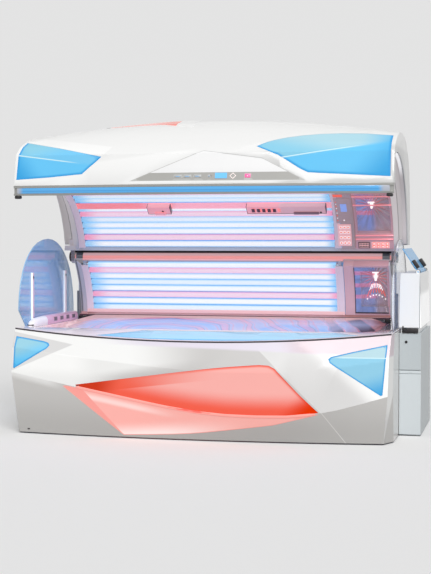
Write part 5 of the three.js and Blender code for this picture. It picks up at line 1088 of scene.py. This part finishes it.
def lamp_bank(name, centre, radius, lamps, body, replaces):
    bm = bmesh.new()
    for angle, tone in lamps:
        left = on_arc(centre, radius, angle, LAMP_LEFT)
        right = on_arc(centre, radius, angle, LAMP_RIGHT)
        step = Vector((0.020, 0, 0))
        add_rod(bm, left + step, right - step, 0.0185, tone)
        add_rod(bm, left, left + step, 0.0190, 3, 24, 0.002)
        add_rod(bm, right - step, right, 0.0190, 3, 24, 0.002)
    back = bm.verts.layers.float.new("back")
    for vert in bm.verts:
        out = math.hypot(vert.co.y - centre[0], vert.co.z - centre[1]) - radius
        vert[back] = min(1.0, max(0.0, (out + 0.0165) / 0.0165)) ** 2
    return as_piece(name, bm, [lamp_white, lamp_blue, lamp_pink, cap_metal], body, 40.0, replaces)


FIRST, LAST = 16.026, 109.942
canopy_tones = {0: 0, 1: 2, 2: 0, 3: 0, 4: 1, 5: 2, 6: 0, 8: 1, 9: 1, 10: 2, 14: 2, 18: 2}
canopy_lamps = [(FIRST + (LAST - FIRST) * i / 19, canopy_tones.get(i, i % 2)) for i in range(20) if i != 7]
wall_lamps = [(8 + 29.5 * i / 7, {6: 2, 2: 2}.get(i, 0 if i % 2 else 1)) for i in range(8)]
lamp_bank("canopy_tubes", CANOPY_ARC, 0.5345, canopy_lamps, "canopy", ("canopy_lamp_bank",))
lamp_bank("wall_tubes", WALL_ARC, 0.634, wall_lamps, "base", ("wall_lamp_bank",))
print("tubes:", len(canopy_lamps), "in the canopy and", len(wall_lamps), "in the wall")

# %% [markdown]
# The tubes end in holder strips that follow the arc. A rectangle is drawn once and spun about the
# arc's axis. The air band takes the place of one tube: a red diffuser strip behind the nozzles.

# %% Lamp holders and air band


def arc_strip(bm, centre, inner, outer, start, end, x0, x1, steps=18, index=0):
    """A bent bar: a rectangle spun about the axis of an arc."""
    corners = [on_arc(centre, r, start, x) for x, r in ((x0, inner), (x1, inner), (x1, outer), (x0, outer))]
    face = bm.faces.new([bm.verts.new(c) for c in corners])
    face.material_index = index
    geom = [face, *face.edges, *face.verts]
    bmesh.ops.spin(bm, geom=geom, cent=(0, *centre), axis=(1, 0, 0), dvec=(0, 0, 0),
                   angle=math.radians(end - start), steps=steps, use_merge=False, use_duplicate=False)


def arc_piece(name, strips, materials, body, replaces=(), edge=0.0):
    bm = bmesh.new()
    for strip in strips:
        arc_strip(bm, *strip)
    bmesh.ops.remove_doubles(bm, verts=bm.verts, dist=1e-6)
    bmesh.ops.recalc_face_normals(bm, faces=bm.faces)
    if edge:
        round_edges(bm, edge, 60.0)
    return as_piece(name, bm, materials, body, 40.0, replaces)


for name, centre, radius, start, end, body in (
    ("canopy_holders", CANOPY_ARC, 0.5345, 13.1, 111.8, "canopy"),
    ("wall_holders", WALL_ARC, 0.634, 5.1, 39.4, "base"),
):
    strips = [(centre, radius - 0.020, radius + 0.0245, start, end, x - 0.013, x + 0.004)
              for x in (LAMP_LEFT, LAMP_RIGHT + 0.009)]
    arc_piece(name, strips, [holder_white], body, edge=0.002)
band_angle = FIRST + (LAST - FIRST) * 7 / 19
arc_piece("air_band", [(CANOPY_ARC, 0.5138, 0.5153, band_angle - 3.0, band_angle + 3.6,
                        LAMP_LEFT + 0.005, LAMP_RIGHT - 0.005, 4)], [band_red], "canopy", edge=0.0004)
print("air band at", round(band_angle, 2), "degrees")

# %% [markdown]
# The acrylic of both banks is clamped at its ends by smooth cheeks, which hide the lamp holders. They
# are bent bars again. A rubber lip closes the gap over the hinge rail: it is bent about the hinge's own
# axis, so it can turn with the canopy without touching the rail.

# %% Cheeks and hinge lip
HINGE_AXIS = (0.4295, 1.102)
cheek_rose = finish("cheek_rose", "#D6C2CA", rough=0.35, coat=0.2, cloud=0.06)
# The cheeks' glow is painted lamp light.
glow_with_colour(cheek_rose, 0.34)
sill_rose = finish("sill_rose", "#EDBDBA", rough=0.35, coat=0.2, cloud=0.06)
# The sill's glow is painted lamp light.
glow_with_colour(sill_rose, 0.3)
arc_piece("canopy_cheeks", [(CANOPY_ARC, 0.5035, 0.5072, 13.6, 111.0, LAMP_LEFT - 0.022, LAMP_LEFT + 0.024, 24),
                            (CANOPY_ARC, 0.5035, 0.5072, 13.6, 109.0, LAMP_RIGHT - 0.014, LAMP_RIGHT + 0.026, 24)],
          [cheek_rose], "canopy", edge=0.001)
arc_piece("wall_cheeks", [(WALL_ARC, 0.6030, 0.6067, 5.6, 39.0, LAMP_LEFT - 0.024, LAMP_LEFT + 0.024, 12),
                          (WALL_ARC, 0.6030, 0.6067, 5.6, 39.0, LAMP_RIGHT - 0.024, LAMP_RIGHT + 0.028, 12)],
          [cheek_rose], "base", edge=0.001)
arc_piece("wall_cap", [(WALL_ARC, 0.6535, 0.6582, 38.5, 40.6, LAMP_LEFT - 0.024, LAMP_RIGHT + 0.028, 4)], [rose_metal], "base", edge=0.001)
arc_piece("wall_sill", [(WALL_ARC, 0.6028, 0.6064, 5.0, 7.2, LAMP_LEFT - 0.024, LAMP_RIGHT + 0.028, 3)], [sill_rose], "base", edge=0.001)
arc_piece("hinge_lip", [(HINGE_AXIS, 0.0350, 0.0490, 62.0, 128.0, -1.195, 1.058, 8)], [dark_rubber], "canopy",
          edge=0.001)
print("cheeks and lip ready")

# %% [markdown]
# ## Console
# The console carries a brown panel with a small screen, a round key, a column of signal lights and a
# keypad. They are thin bars bent on the same arc as the console's face, and studs that stand on it.

# %% Console
panel_brown = finish("panel_brown", "#A89193", rough=0.4, cloud=0.12, grain=500, bump=0.08)
# The panel's glow is painted lamp light.
glow_with_colour(panel_brown, 0.42)
screen_blue = finish("screen_blue", "#8FA8E6", rough=0.15, coat=0.5, cloud=0.25, cloud_scale=90.0, bump=0.0)
glow_with_colour(screen_blue, 0.5)
signal_red = finish("signal_red", "#F0583C", rough=0.25, cloud=0.06, bump=0.0)
glow_with_colour(signal_red, 0.6)
signal_white = finish("signal_white", "#FBEDEA", rough=0.25, cloud=0.04, bump=0.0)
glow_with_colour(signal_white, 0.6)
# The keypad's glow is painted lamp light.
keypad_rose = finish("keypad_rose", "#E6B6B6", rough=0.35, cloud=0.06, glow="#E3A9A8", strength=0.55)


def add_stud(bm, centre, inner, outer, angle, x, size, index, segments=12):
    """A round stud that stands on an arc and points to its centre."""
    add_rod(bm, on_arc(centre, outer, angle, x), on_arc(centre, inner, angle, x), size, index, segments,
            size * 0.2)


bm = bmesh.new()
arc_strip(bm, CANOPY_ARC, 0.4968, 0.5013, 34.6, 61.4, 0.6950, 0.8010, 10, 0)
arc_strip(bm, CANOPY_ARC, 0.4985, 0.5013, 15.6, 33.4, 0.7020, 0.7880, 8, 1)
arc_strip(bm, CANOPY_ARC, 0.4980, 0.5013, 63.0, 68.0, 0.6950, 0.7700, 4, 0)
bmesh.ops.recalc_face_normals(bm, faces=bm.faces)
round_edges(bm, 0.001, 60.0)
as_piece("console_panels", bm, [panel_brown, keypad_rose], "canopy", 40.0)

bm = bmesh.new()
arc_strip(bm, CANOPY_ARC, 0.4957, 0.4967, 45.8, 54.2, 0.7330, 0.7730, 4, 0)
arc_strip(bm, CANOPY_ARC, 0.4970, 0.4979, 63.6, 67.4, 0.6990, 0.7580, 3, 1)
bmesh.ops.recalc_face_normals(bm, faces=bm.faces)
for step in range(9):
    add_stud(bm, CANOPY_ARC, 0.4945, 0.4967, 37.0 + 2.45 * step, 0.7070, 0.0035, 1 + step % 2)
add_stud(bm, CANOPY_ARC, 0.4945, 0.4967, 37.4, 0.7480, 0.0050, 2)
for row in range(4):
    for column in range(3):
        angle, x = 18.0 + 4.3 * row, 0.7205 + 0.0245 * column
        add_stud(bm, CANOPY_ARC, 0.4968, 0.4984, angle, x, 0.0108, 2)
        add_stud(bm, CANOPY_ARC, 0.4955, 0.4967, angle, x, 0.0056, 1)
lights = as_piece("console_lights", bm, [screen_blue, signal_red, signal_white], "canopy", 40.0)
print("console lights:", len(lights.data.polygons), "faces")

# %% [markdown]
# ## Face and shoulder tanners
# Behind each window sits a small high-pressure burner in a bright reflector with star-shaped ribs.
# The ribs are a relief made from the angle round the burner. A glass pane closes the window and
# rose-coloured guard bars cross it; below the face tanner are an air grille and a second keypad.

# %% Star reflector group
star, star_in, star_out = new_group(
    "star_ribs",
    [("Centre", VECTOR, (0, 0, 0)), ("Count", VALUE, 18.0), ("Reach", VALUE, 0.08)],
    [("Height", VALUE), ("Ray", VALUE), ("Core", VALUE)],
)
place = node(star, "ShaderNodeTexCoord", (-900, -200))
offset = node(star, "ShaderNodeVectorMath", (-700, 0), operation="SUBTRACT")
parts = node(star, "ShaderNodeSeparateXYZ", (-500, 100))
bearing = node(star, "ShaderNodeMath", (-300, 100), operation="ARCTAN2")
turns = node(star, "ShaderNodeMath", (-100, 100), operation="MULTIPLY")
ribs = node(star, "ShaderNodeMath", (100, 100), operation="SINE")
distance = node(star, "ShaderNodeVectorMath", (-500, -200), operation="LENGTH")
fade = node(star, "ShaderNodeMapRange", (-300, -200), interpolation_type="SMOOTHSTEP")
fade.inputs["To Min"].default_value = 1.0
fade.inputs["To Max"].default_value = 0.0
core = node(star, "ShaderNodeMapRange", (-300, -450), interpolation_type="SMOOTHSTEP")
core.inputs["From Min"].default_value = 0.008
core.inputs["From Max"].default_value = 0.026
core.inputs["To Min"].default_value = 1.0
core.inputs["To Max"].default_value = 0.0
sharp = node(star, "ShaderNodeMapRange", (300, 100), interpolation_type="SMOOTHSTEP")
sharp.inputs["From Min"].default_value = 0.2
sharp.inputs["From Max"].default_value = 0.8
ray = node(star, "ShaderNodeMath", (500, 0), operation="MULTIPLY")
star.links.new(place.outputs["Object"], offset.inputs[0])
star.links.new(star_in.outputs["Centre"], offset.inputs[1])
star.links.new(offset.outputs[0], parts.inputs[0])
star.links.new(parts.outputs["Z"], bearing.inputs[0])
star.links.new(parts.outputs["X"], bearing.inputs[1])
star.links.new(bearing.outputs[0], turns.inputs[0])
star.links.new(star_in.outputs["Count"], turns.inputs[1])
star.links.new(turns.outputs[0], ribs.inputs[0])
star.links.new(offset.outputs[0], distance.inputs[0])
star.links.new(distance.outputs["Value"], fade.inputs["Value"])
star.links.new(star_in.outputs["Reach"], fade.inputs["From Max"])
star.links.new(distance.outputs["Value"], core.inputs["Value"])
star.links.new(ribs.outputs[0], sharp.inputs["Value"])
star.links.new(sharp.outputs["Result"], ray.inputs[0])
star.links.new(fade.outputs["Result"], ray.inputs[1])
star.links.new(ribs.outputs[0], star_out.inputs["Height"])
star.links.new(ray.outputs[0], star_out.inputs["Ray"])
star.links.new(core.outputs["Result"], star_out.inputs["Core"])
print("group:", star.name)

# %% Tanner windows


def star_mirror(name, centre, lamp_reflection_tone, edge, bands):
    """A bright reflector with ribs round its burner. Bluish on the side of the lamps, with pink stripes there: painted
    reflections of the lamps. The pale core round the burner and the glow are painted light.
    """
    material = finish(name, "#9C8C93", rough=0.16, metal=0.7, cloud=0.5, cloud_scale=24.0, bump=0.0)
    tree = material.node_tree
    ribbed = node(tree, "ShaderNodeGroup", (-1300, -300), node_tree=star)
    ribbed.inputs["Centre"].default_value = centre
    ribbed.inputs["Reach"].default_value = 0.12
    blend_in(material, along(material, (-1, 0, 0), -edge - 0.02, -edge + 0.02), lamp_reflection_tone)
    # Pink stripes on the lamp side: painted reflections of the lamp rows.
    for height in bands:
        stripe = both(material, along(material, (0, 0, 1), height - 0.016, height - 0.010),
                      along(material, (0, 0, -1), -height - 0.016, -height - 0.010))
        blend_in(material, both(material, stripe, along(material, (-1, 0, 0), -edge - 0.02, -edge + 0.02)), "#C98AA6")
    blend_in(material, ribbed.outputs["Ray"], "#EE5A50")
    # A pale core round the burner: painted light.
    blend_in(material, ribbed.outputs["Core"], "#FFF4F0")
    relief = next(n for n in tree.nodes if n.type == "BUMP")
    relief.inputs["Strength"].default_value = 0.7
    relief.inputs["Distance"].default_value = 0.004
    tree.links.new(ribbed.outputs["Height"], relief.inputs["Height"])
    glow_with_colour(material, 0.4)
    return material


face_star = on_arc(CANOPY_ARC, 0.5455, 47.0, 0.926)
shoulder_star = on_arc(WALL_ARC, 0.6450, 29.0, 0.926)
face_mirror = star_mirror("face_mirror", face_star, "#8496C4", 0.935, (1.395, 1.492))
shoulder_mirror = star_mirror("shoulder_mirror", shoulder_star, "#808CB2", 0.930, (0.842, 0.918, 1.000))
arc_piece("face_reflector", [(CANOPY_ARC, 0.5455, 0.5475, 25.3, 64.7, 0.8262, 1.0454, 16)], [face_mirror], "canopy")
arc_piece("shoulder_reflector", [(WALL_ARC, 0.6450, 0.6470, 10.3, 35.2, 0.8262, 1.0050, 12)], [shoulder_mirror], "base")
arc_piece("shoulder_surround", [(WALL_ARC, 0.6048, 0.6067, 6.4, 38.2, 0.7900, 0.8300, 12),
                                (WALL_ARC, 0.6048, 0.6067, 6.4, 10.7, 0.8304, 1.0120, 4),
                                (WALL_ARC, 0.6048, 0.6067, 34.9, 38.2, 0.8304, 1.0120, 4)], [shoulder_mirror], "base")
pane = finish("tanner_pane", "#E8C8CE", rough=0.03, coat=0.6, bump=0.0, alpha=0.08)
arc_piece("face_pane", [(CANOPY_ARC, 0.5090, 0.5110, 25.2, 64.8, 0.8262, 1.0454, 16)], [pane], "canopy")
arc_piece("shoulder_pane", [(WALL_ARC, 0.6090, 0.6110, 10.2, 35.3, 0.8262, 1.0050, 12)], [pane], "base")

burner_glass = finish("burner_glass", "#FFF8F4", rough=0.1, bump=0.0)
glow_with_colour(burner_glass, 0.95)
bar_rose = finish("guard_rose", "#F29AA2", rough=0.2, metal=0.3, cloud=0.08)
# The guard bars' glow is painted lamp light.
glow_with_colour(bar_rose, 0.42)
for name, centre, face, back, turn, bars, dots, body in (
    ("face", CANOPY_ARC, 0.5040, 0.5390, 47.0, (62.6, 51.6, 23.6, 20.6), (), "canopy"),
    ("shoulder", WALL_ARC, 0.6050, 0.6390, 29.0, (), (14.6, 16.0, 16.9, 17.2, 16.9, 16.0, 14.6), "base"),
):
    bm = bmesh.new()
    add_rod(bm, on_arc(centre, back, turn - 2.4, 0.926), on_arc(centre, back, turn + 2.4, 0.930), 0.008, 0, 16, 0.003)
    add_rod(bm, on_arc(centre, back, turn + 3.2, 0.905), on_arc(centre, back, turn + 3.2, 0.948), 0.005, 0, 12, 0.002)
    for angle in bars:
        add_rod(bm, on_arc(centre, face, angle, 0.8125), on_arc(centre, face, angle, 1.0592), 0.0045, 1, 16, 0.001)
    for index, angle in enumerate(dots):
        add_stud(bm, centre, back, back + 0.0062, angle, 0.866 + 0.020 * index, 0.0045, 0)
        tip = on_arc(centre, back + 0.0035, angle + 1.6, 0.866 + 0.020 * index)
        root = on_arc(centre, back + 0.0035, turn - 3.0, 0.908 + 0.006 * index)
        add_rod(bm, tip, tip.lerp(root, 0.40), 0.0026, 2, 8)
        add_rod(bm, tip.lerp(root, 0.40), tip.lerp(root, 0.80), 0.0021, 0, 8)
    as_piece(name + "_burner", bm, [burner_glass, bar_rose, signal_red], body, 40.0)

grille_frame = finish("grille_frame", "#35282D", rough=0.4, cloud=0.1, grain=600, bump=0.05)
arc_piece("shoulder_frame", [(WALL_ARC, 0.6026, 0.6046, 6.2, 38.2, 0.7880, 0.7930, 12),
                             (WALL_ARC, 0.6026, 0.6046, 6.2, 7.0, 0.7932, 1.0120, 3)], [grille_frame], "base", edge=0.0006)
bm = bmesh.new()
arc_strip(bm, CANOPY_ARC, 0.5045, 0.5073, 13.7, 18.4, 0.8300, 0.9040, 4, 0)
arc_strip(bm, CANOPY_ARC, 0.5038, 0.5044, 14.3, 17.8, 0.8350, 0.8990, 4, 1)
arc_strip(bm, CANOPY_ARC, 0.5045, 0.5073, 13.7, 18.4, 0.9160, 1.0320, 4, 1)
for row in range(2):
    for column in range(6):
        angle, x = 14.7 + 1.7 * row, 0.8375 + 0.0103 * column
        arc_strip(bm, CANOPY_ARC, 0.5030, 0.5037, angle, angle + 1.0, x, x + 0.0075, 1, 2)
bmesh.ops.recalc_face_normals(bm, faces=bm.faces)
for row in range(2):
    for column in range(4):
        angle, x = 15.0 + 2.1 * row, 0.9310 + 0.0288 * column
        add_stud(bm, CANOPY_ARC, 0.5020, 0.5044, angle, x, 0.0095, 4)
        add_stud(bm, CANOPY_ARC, 0.5008, 0.5019, angle, x + 0.001, 0.0055, 3)
as_piece("tanner_grille_keys", bm, [grille_frame, keypad_rose, dark_rubber, signal_white, signal_red], "canopy", 40.0)
print("tanners ready")

# %% [markdown]
# ## Control strip
# A blue display, a diamond of four fine bars for the way keys, and blue marks on the key caps. The
# marks ride on their keys, so they go down with them when a key is pressed.

# %% Control strip
display_blue = finish("display_blue", "#6CBBEE", rough=0.15, coat=0.3, cloud=0.12, cloud_scale=60.0, bump=0.0)
glow_with_colour(display_blue, 0.35)
mark_blue = finish("mark_blue", "#7FB4E0", rough=0.3, cloud=0.06, bump=0.0)
glow_with_colour(mark_blue, 0.3)
bm = bmesh.new()
face_plate(bm, 0.058, 0.132, 1.5945, 1.6270, 0.0016, 0)
as_piece("strip_display", bm, [display_blue], "canopy", 40.0)
bm = bmesh.new()
ring = [(0.168 + 0.018 * math.cos(k * math.pi / 2), 1.6095 + 0.017 * math.sin(k * math.pi / 2)) for k in range(5)]
for (x0, z0), (x1, z1) in zip(ring, ring[1:]):
    add_rod(bm, (x0, front_at(x0, z0) - 0.0008, z0), (x1, front_at(x1, z1) - 0.0008, z1), 0.0013, 0, 8)
as_piece("strip_diamond", bm, [signal_white], "canopy", 40.0)
for name in ("key_left", "key_middle", "key_right", "key_round", "key_start"):
    low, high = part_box(name)
    middle_x, middle_z = (low[0] + high[0]) / 2, (low[2] + high[2]) / 2
    half = 0.012 if name in ("key_left", "key_middle", "key_right") else 0.003
    front = low[1] + 0.0038
    bm = bmesh.new()
    add_rod(bm, (middle_x - half, front - 0.0022, middle_z), (middle_x + half, front - 0.0022, middle_z), 0.0022, 0, 10, 0.0005)
    as_piece(name + "_mark", bm, [signal_white if name == "key_start" else mark_blue], body_of_node[name], 40.0)
print("control strip ready")

# %% [markdown]
# ## Small trim
# Rubber buffers under the front corners, collars on the hinge rail, clamp strips with screws on the
# fins, the grip under the tower and the clips of its lid, and the dark mouth of the foot blower. A
# rounded block is one helper: a cube operator, stretched and bevelled.

# %% Small trim


def add_block(bm, low, high, index=0, edge=0.002):
    """A block between two corners with its edges rounded."""
    low, high = Vector(low), Vector(high)
    made = bmesh.ops.create_cube(bm, size=1.0)
    bmesh.ops.scale(bm, vec=high - low, verts=made["verts"])
    bmesh.ops.translate(bm, vec=(low + high) / 2, verts=made["verts"])
    faces = {f for v in made["verts"] for f in v.link_faces}
    for face in faces:
        face.material_index = index
    edges = list({e for v in made["verts"] for e in v.link_edges})
    bmesh.ops.bevel(bm, geom=edges, offset=edge, offset_type="OFFSET", segments=2, profile=0.5, affect="EDGES",
                    clamp_overlap=True, material=-1)


def blocks(name, body, material, corners, edge=0.002):
    bm = bmesh.new()
    for low, high in corners:
        add_block(bm, low, high, 0, edge)
    return as_piece(name, bm, [material], body, 40.0)


blocks("canopy_buffers", "canopy", dark_rubber, (
    ((-1.262, -0.488, 1.480), (-1.224, -0.450, 1.4998)), ((1.088, -0.488, 1.480), (1.126, -0.450, 1.4998))), 0.006)
blocks("tower_grip", "base", dark_rubber, (
    ((1.152, -0.1200, 0.6430), (1.250, -0.0925, 0.6680)), ((1.152, -0.1200, 0.6430), (1.1605, -0.0925, 0.6860))), 0.003)
clamp = finish("fin_clamp", "#E2BCCB", rough=0.12, coat=0.5, bump=0.0, cloud=0.04)
# The clamps' glow is painted light.
glow_with_colour(clamp, 0.2)
edge_white = finish("clamp_edge", "#F4F8FC", rough=0.15, coat=0.4, bump=0.0)
# The white edges' glow is painted light.
glow_with_colour(edge_white, 0.3)
for side, face, step in (("left", -1.2480, 1), ("right", 1.1116, -1)):
    bm = bmesh.new()
    for y in (-0.235, 0.395):
        xs = sorted((face, face + step * 0.009))
        add_block(bm, (xs[0], y, 0.668), (xs[1], y + 0.030, 1.006), 0, 0.001)
        xs = sorted((face, face + step * 0.012))
        add_block(bm, (xs[0], y - 0.008, 0.668), (xs[1], y - 0.001, 1.006), 1, 0.001)
        for z in (0.705, 0.975):
            add_rod(bm, (face + step * 0.008, y + 0.015, z), (face + step * 0.0125, y + 0.015, z), 0.0075, 2, 16, 0.0015)
    as_piece("fin_clamps_" + side, bm, [clamp, edge_white, seam_dark], "base", 40.0)

bm = bmesh.new()
for x, width in ((-1.2085, 0.007), (-1.150, 0.008), (1.060, 0.012)):
    add_rod(bm, (x, *HINGE_AXIS), (x + width, *HINGE_AXIS), 0.0346, 0, 32, 0.002)
as_piece("rail_collars", bm, [dark_rubber], "base", 40.0)

bm = bmesh.new()
for y in (-0.0505, 0.5095):
    add_rod(bm, (1.2419, y, 1.0210), (1.2419, y + 0.0595, 1.0210), 0.0126, 0, 24, 0.002)
as_piece("lid_barrels", bm, [dark_rubber], "base", 40.0)
bm = bmesh.new()
lean = Matrix.Translation((1.2419, 0, 1.0210)) @ Matrix.Rotation(-math.radians(124), 4, "Y")
for y in (-0.046, 0.500):
    start = len(bm.verts)
    add_block(bm, (0.020, y, -0.0240), (0.078, y + 0.056, 0.0060), 0, 0.004)
    bm.verts.ensure_lookup_table()
    bmesh.ops.transform(bm, matrix=lean, verts=bm.verts[start:])
as_piece("lid_clips", bm, [dark_rubber], "tower_lid", 40.0)

bm = bmesh.new()
add_stud(bm, CANOPY_ARC, 0.4690, 0.4722, 50.2, -0.4440, 0.0075, 0)
add_stud(bm, CANOPY_ARC, 0.4690, 0.4722, 48.2, 0.608, 0.0075, 0)
for step in range(5):
    x = 0.156 + 0.035 * step
    arc_strip(bm, CANOPY_ARC, 0.4704, 0.4722, 48.6, 52.6, x, x + 0.021, 2, 1)
bmesh.ops.recalc_face_normals(bm, faces=bm.faces)
vent_dark = finish("vent_dark", "#6A3F49", rough=0.4, cloud=0.1)
as_piece("nozzle_trim", bm, [dark_rubber, vent_dark], "canopy", 40.0)

pod_grey = finish("pod_vent_grey", "#7F7078", rough=0.45, cloud=0.12, grain=700)
pod_skin = BVHTree.FromBMesh(merged_copy("foot_air_pod"))
vents = []
for y in (-0.0105, 0.1095, 0.2295, 0.3495):
    rims = [pod_skin.ray_cast(Vector((0, y, z)), Vector((-1, 0, 0)))[0].x for z in (0.6800, 0.7060)]
    vents.append(((-1.1775, y - 0.0300, 0.6806), (max(rims) + 0.0007, y + 0.0300, 0.7064)))
blocks("pod_vents", "base", pod_grey, vents, 0.0008)
blocks("pod_mouth", "base", dark_rubber, (((-1.2150, -0.3960, 0.6704), (-1.1770, -0.3560, 0.6768)),), 0.001)
blocks("wall_feet", "base", dark_rubber, (
    ((-1.1560, 0.4400, 0.6642), (-1.0980, 0.4535, 0.6898)), ((0.9900, 0.4400, 0.6642), (1.0250, 0.4535, 0.6898))), 0.002)
blocks("skirt_plug", "base", seam_dark, (((-1.1585, -0.5475, 0.0270), (-1.1435, -0.5385, 0.0335)),), 0.0015)
blocks("lens_notch", "base", seam_dark, (((-0.8050, -0.6404, 0.3178), (-0.7825, -0.6330, 0.3236)),), 0.0012)
print("trim ready")

# %% [markdown]
# ## Roof accent
# The red accent on the roof is the front slope of a low fin that rises to the right and falls away
# behind. A grid is laid on the roof by casting rays down, lifted along the fin and given thickness;
# faces on the front slope take the red of the accent, the others the white of the shell.

# %% Roof accent
roof, accent = [BVHTree.FromBMesh(merged_copy(name)) for name in ("canopy_shell", "canopy_accent")]
bm = bmesh.new()
made = bmesh.ops.create_grid(bm, x_segments=64, y_segments=16, size=0.5)
FIN_LEFT, FIN_PEAK, FIN_RIGHT, FIN_RISE, FIN_FRONT = -0.790, -0.335, -0.170, 0.0049, 8 / 16
for vert in made["verts"]:
    along_x, across = vert.co.x + 0.5, vert.co.y + 0.5
    x = FIN_LEFT + along_x * (FIN_RIGHT - FIN_LEFT)
    front = -0.0365 - 0.250 * (x + 0.764)
    rear = -0.0365 + 0.0965 * (x + 0.764)
    y = front + (rear - front) * across / FIN_FRONT if across <= FIN_FRONT else rear + 0.070 * (across - FIN_FRONT) / (1 - FIN_FRONT)
    rise = min((x - FIN_LEFT) / (FIN_PEAK - FIN_LEFT), (FIN_RIGHT - x) / (FIN_RIGHT - FIN_PEAK))
    hump = across / FIN_FRONT if across <= FIN_FRONT else 1 - (across - FIN_FRONT) / (1 - FIN_FRONT)
    hits = [tree.ray_cast(Vector((x + dx, y + dy, 3.0)), Vector((0, 0, -1)))[0] for tree in (roof, accent)
            for dx, dy in ((0, 0), (0.004, 0), (-0.004, 0), (0, 0.004), (0, -0.004))]
    ground = max(hit.z for hit in hits if hit)
    vert.co = (x, y, ground + FIN_RISE * max(0.0, rise) * hump + 0.0006)
for face in bm.faces:
    middle = face.calc_center_median()
    slope_share = (middle.y - (-0.0365 - 0.250 * (middle.x + 0.764))) / max(1e-6, 0.3465 * (middle.x + 0.764))
    face.material_index = 1 if 0.02 < slope_share < 0.82 and -0.764 < middle.x < -0.285 else 0
bmesh.ops.solidify(bm, geom=bm.faces[:], thickness=0.004)
bmesh.ops.recalc_face_normals(bm, faces=bm.faces)
roof_fin = as_piece("roof_fin", bm, [canopy_white, accent_red], "canopy", 40.0)
print("roof fin top:", round(max(v.co.z for v in roof_fin.data.vertices), 4))
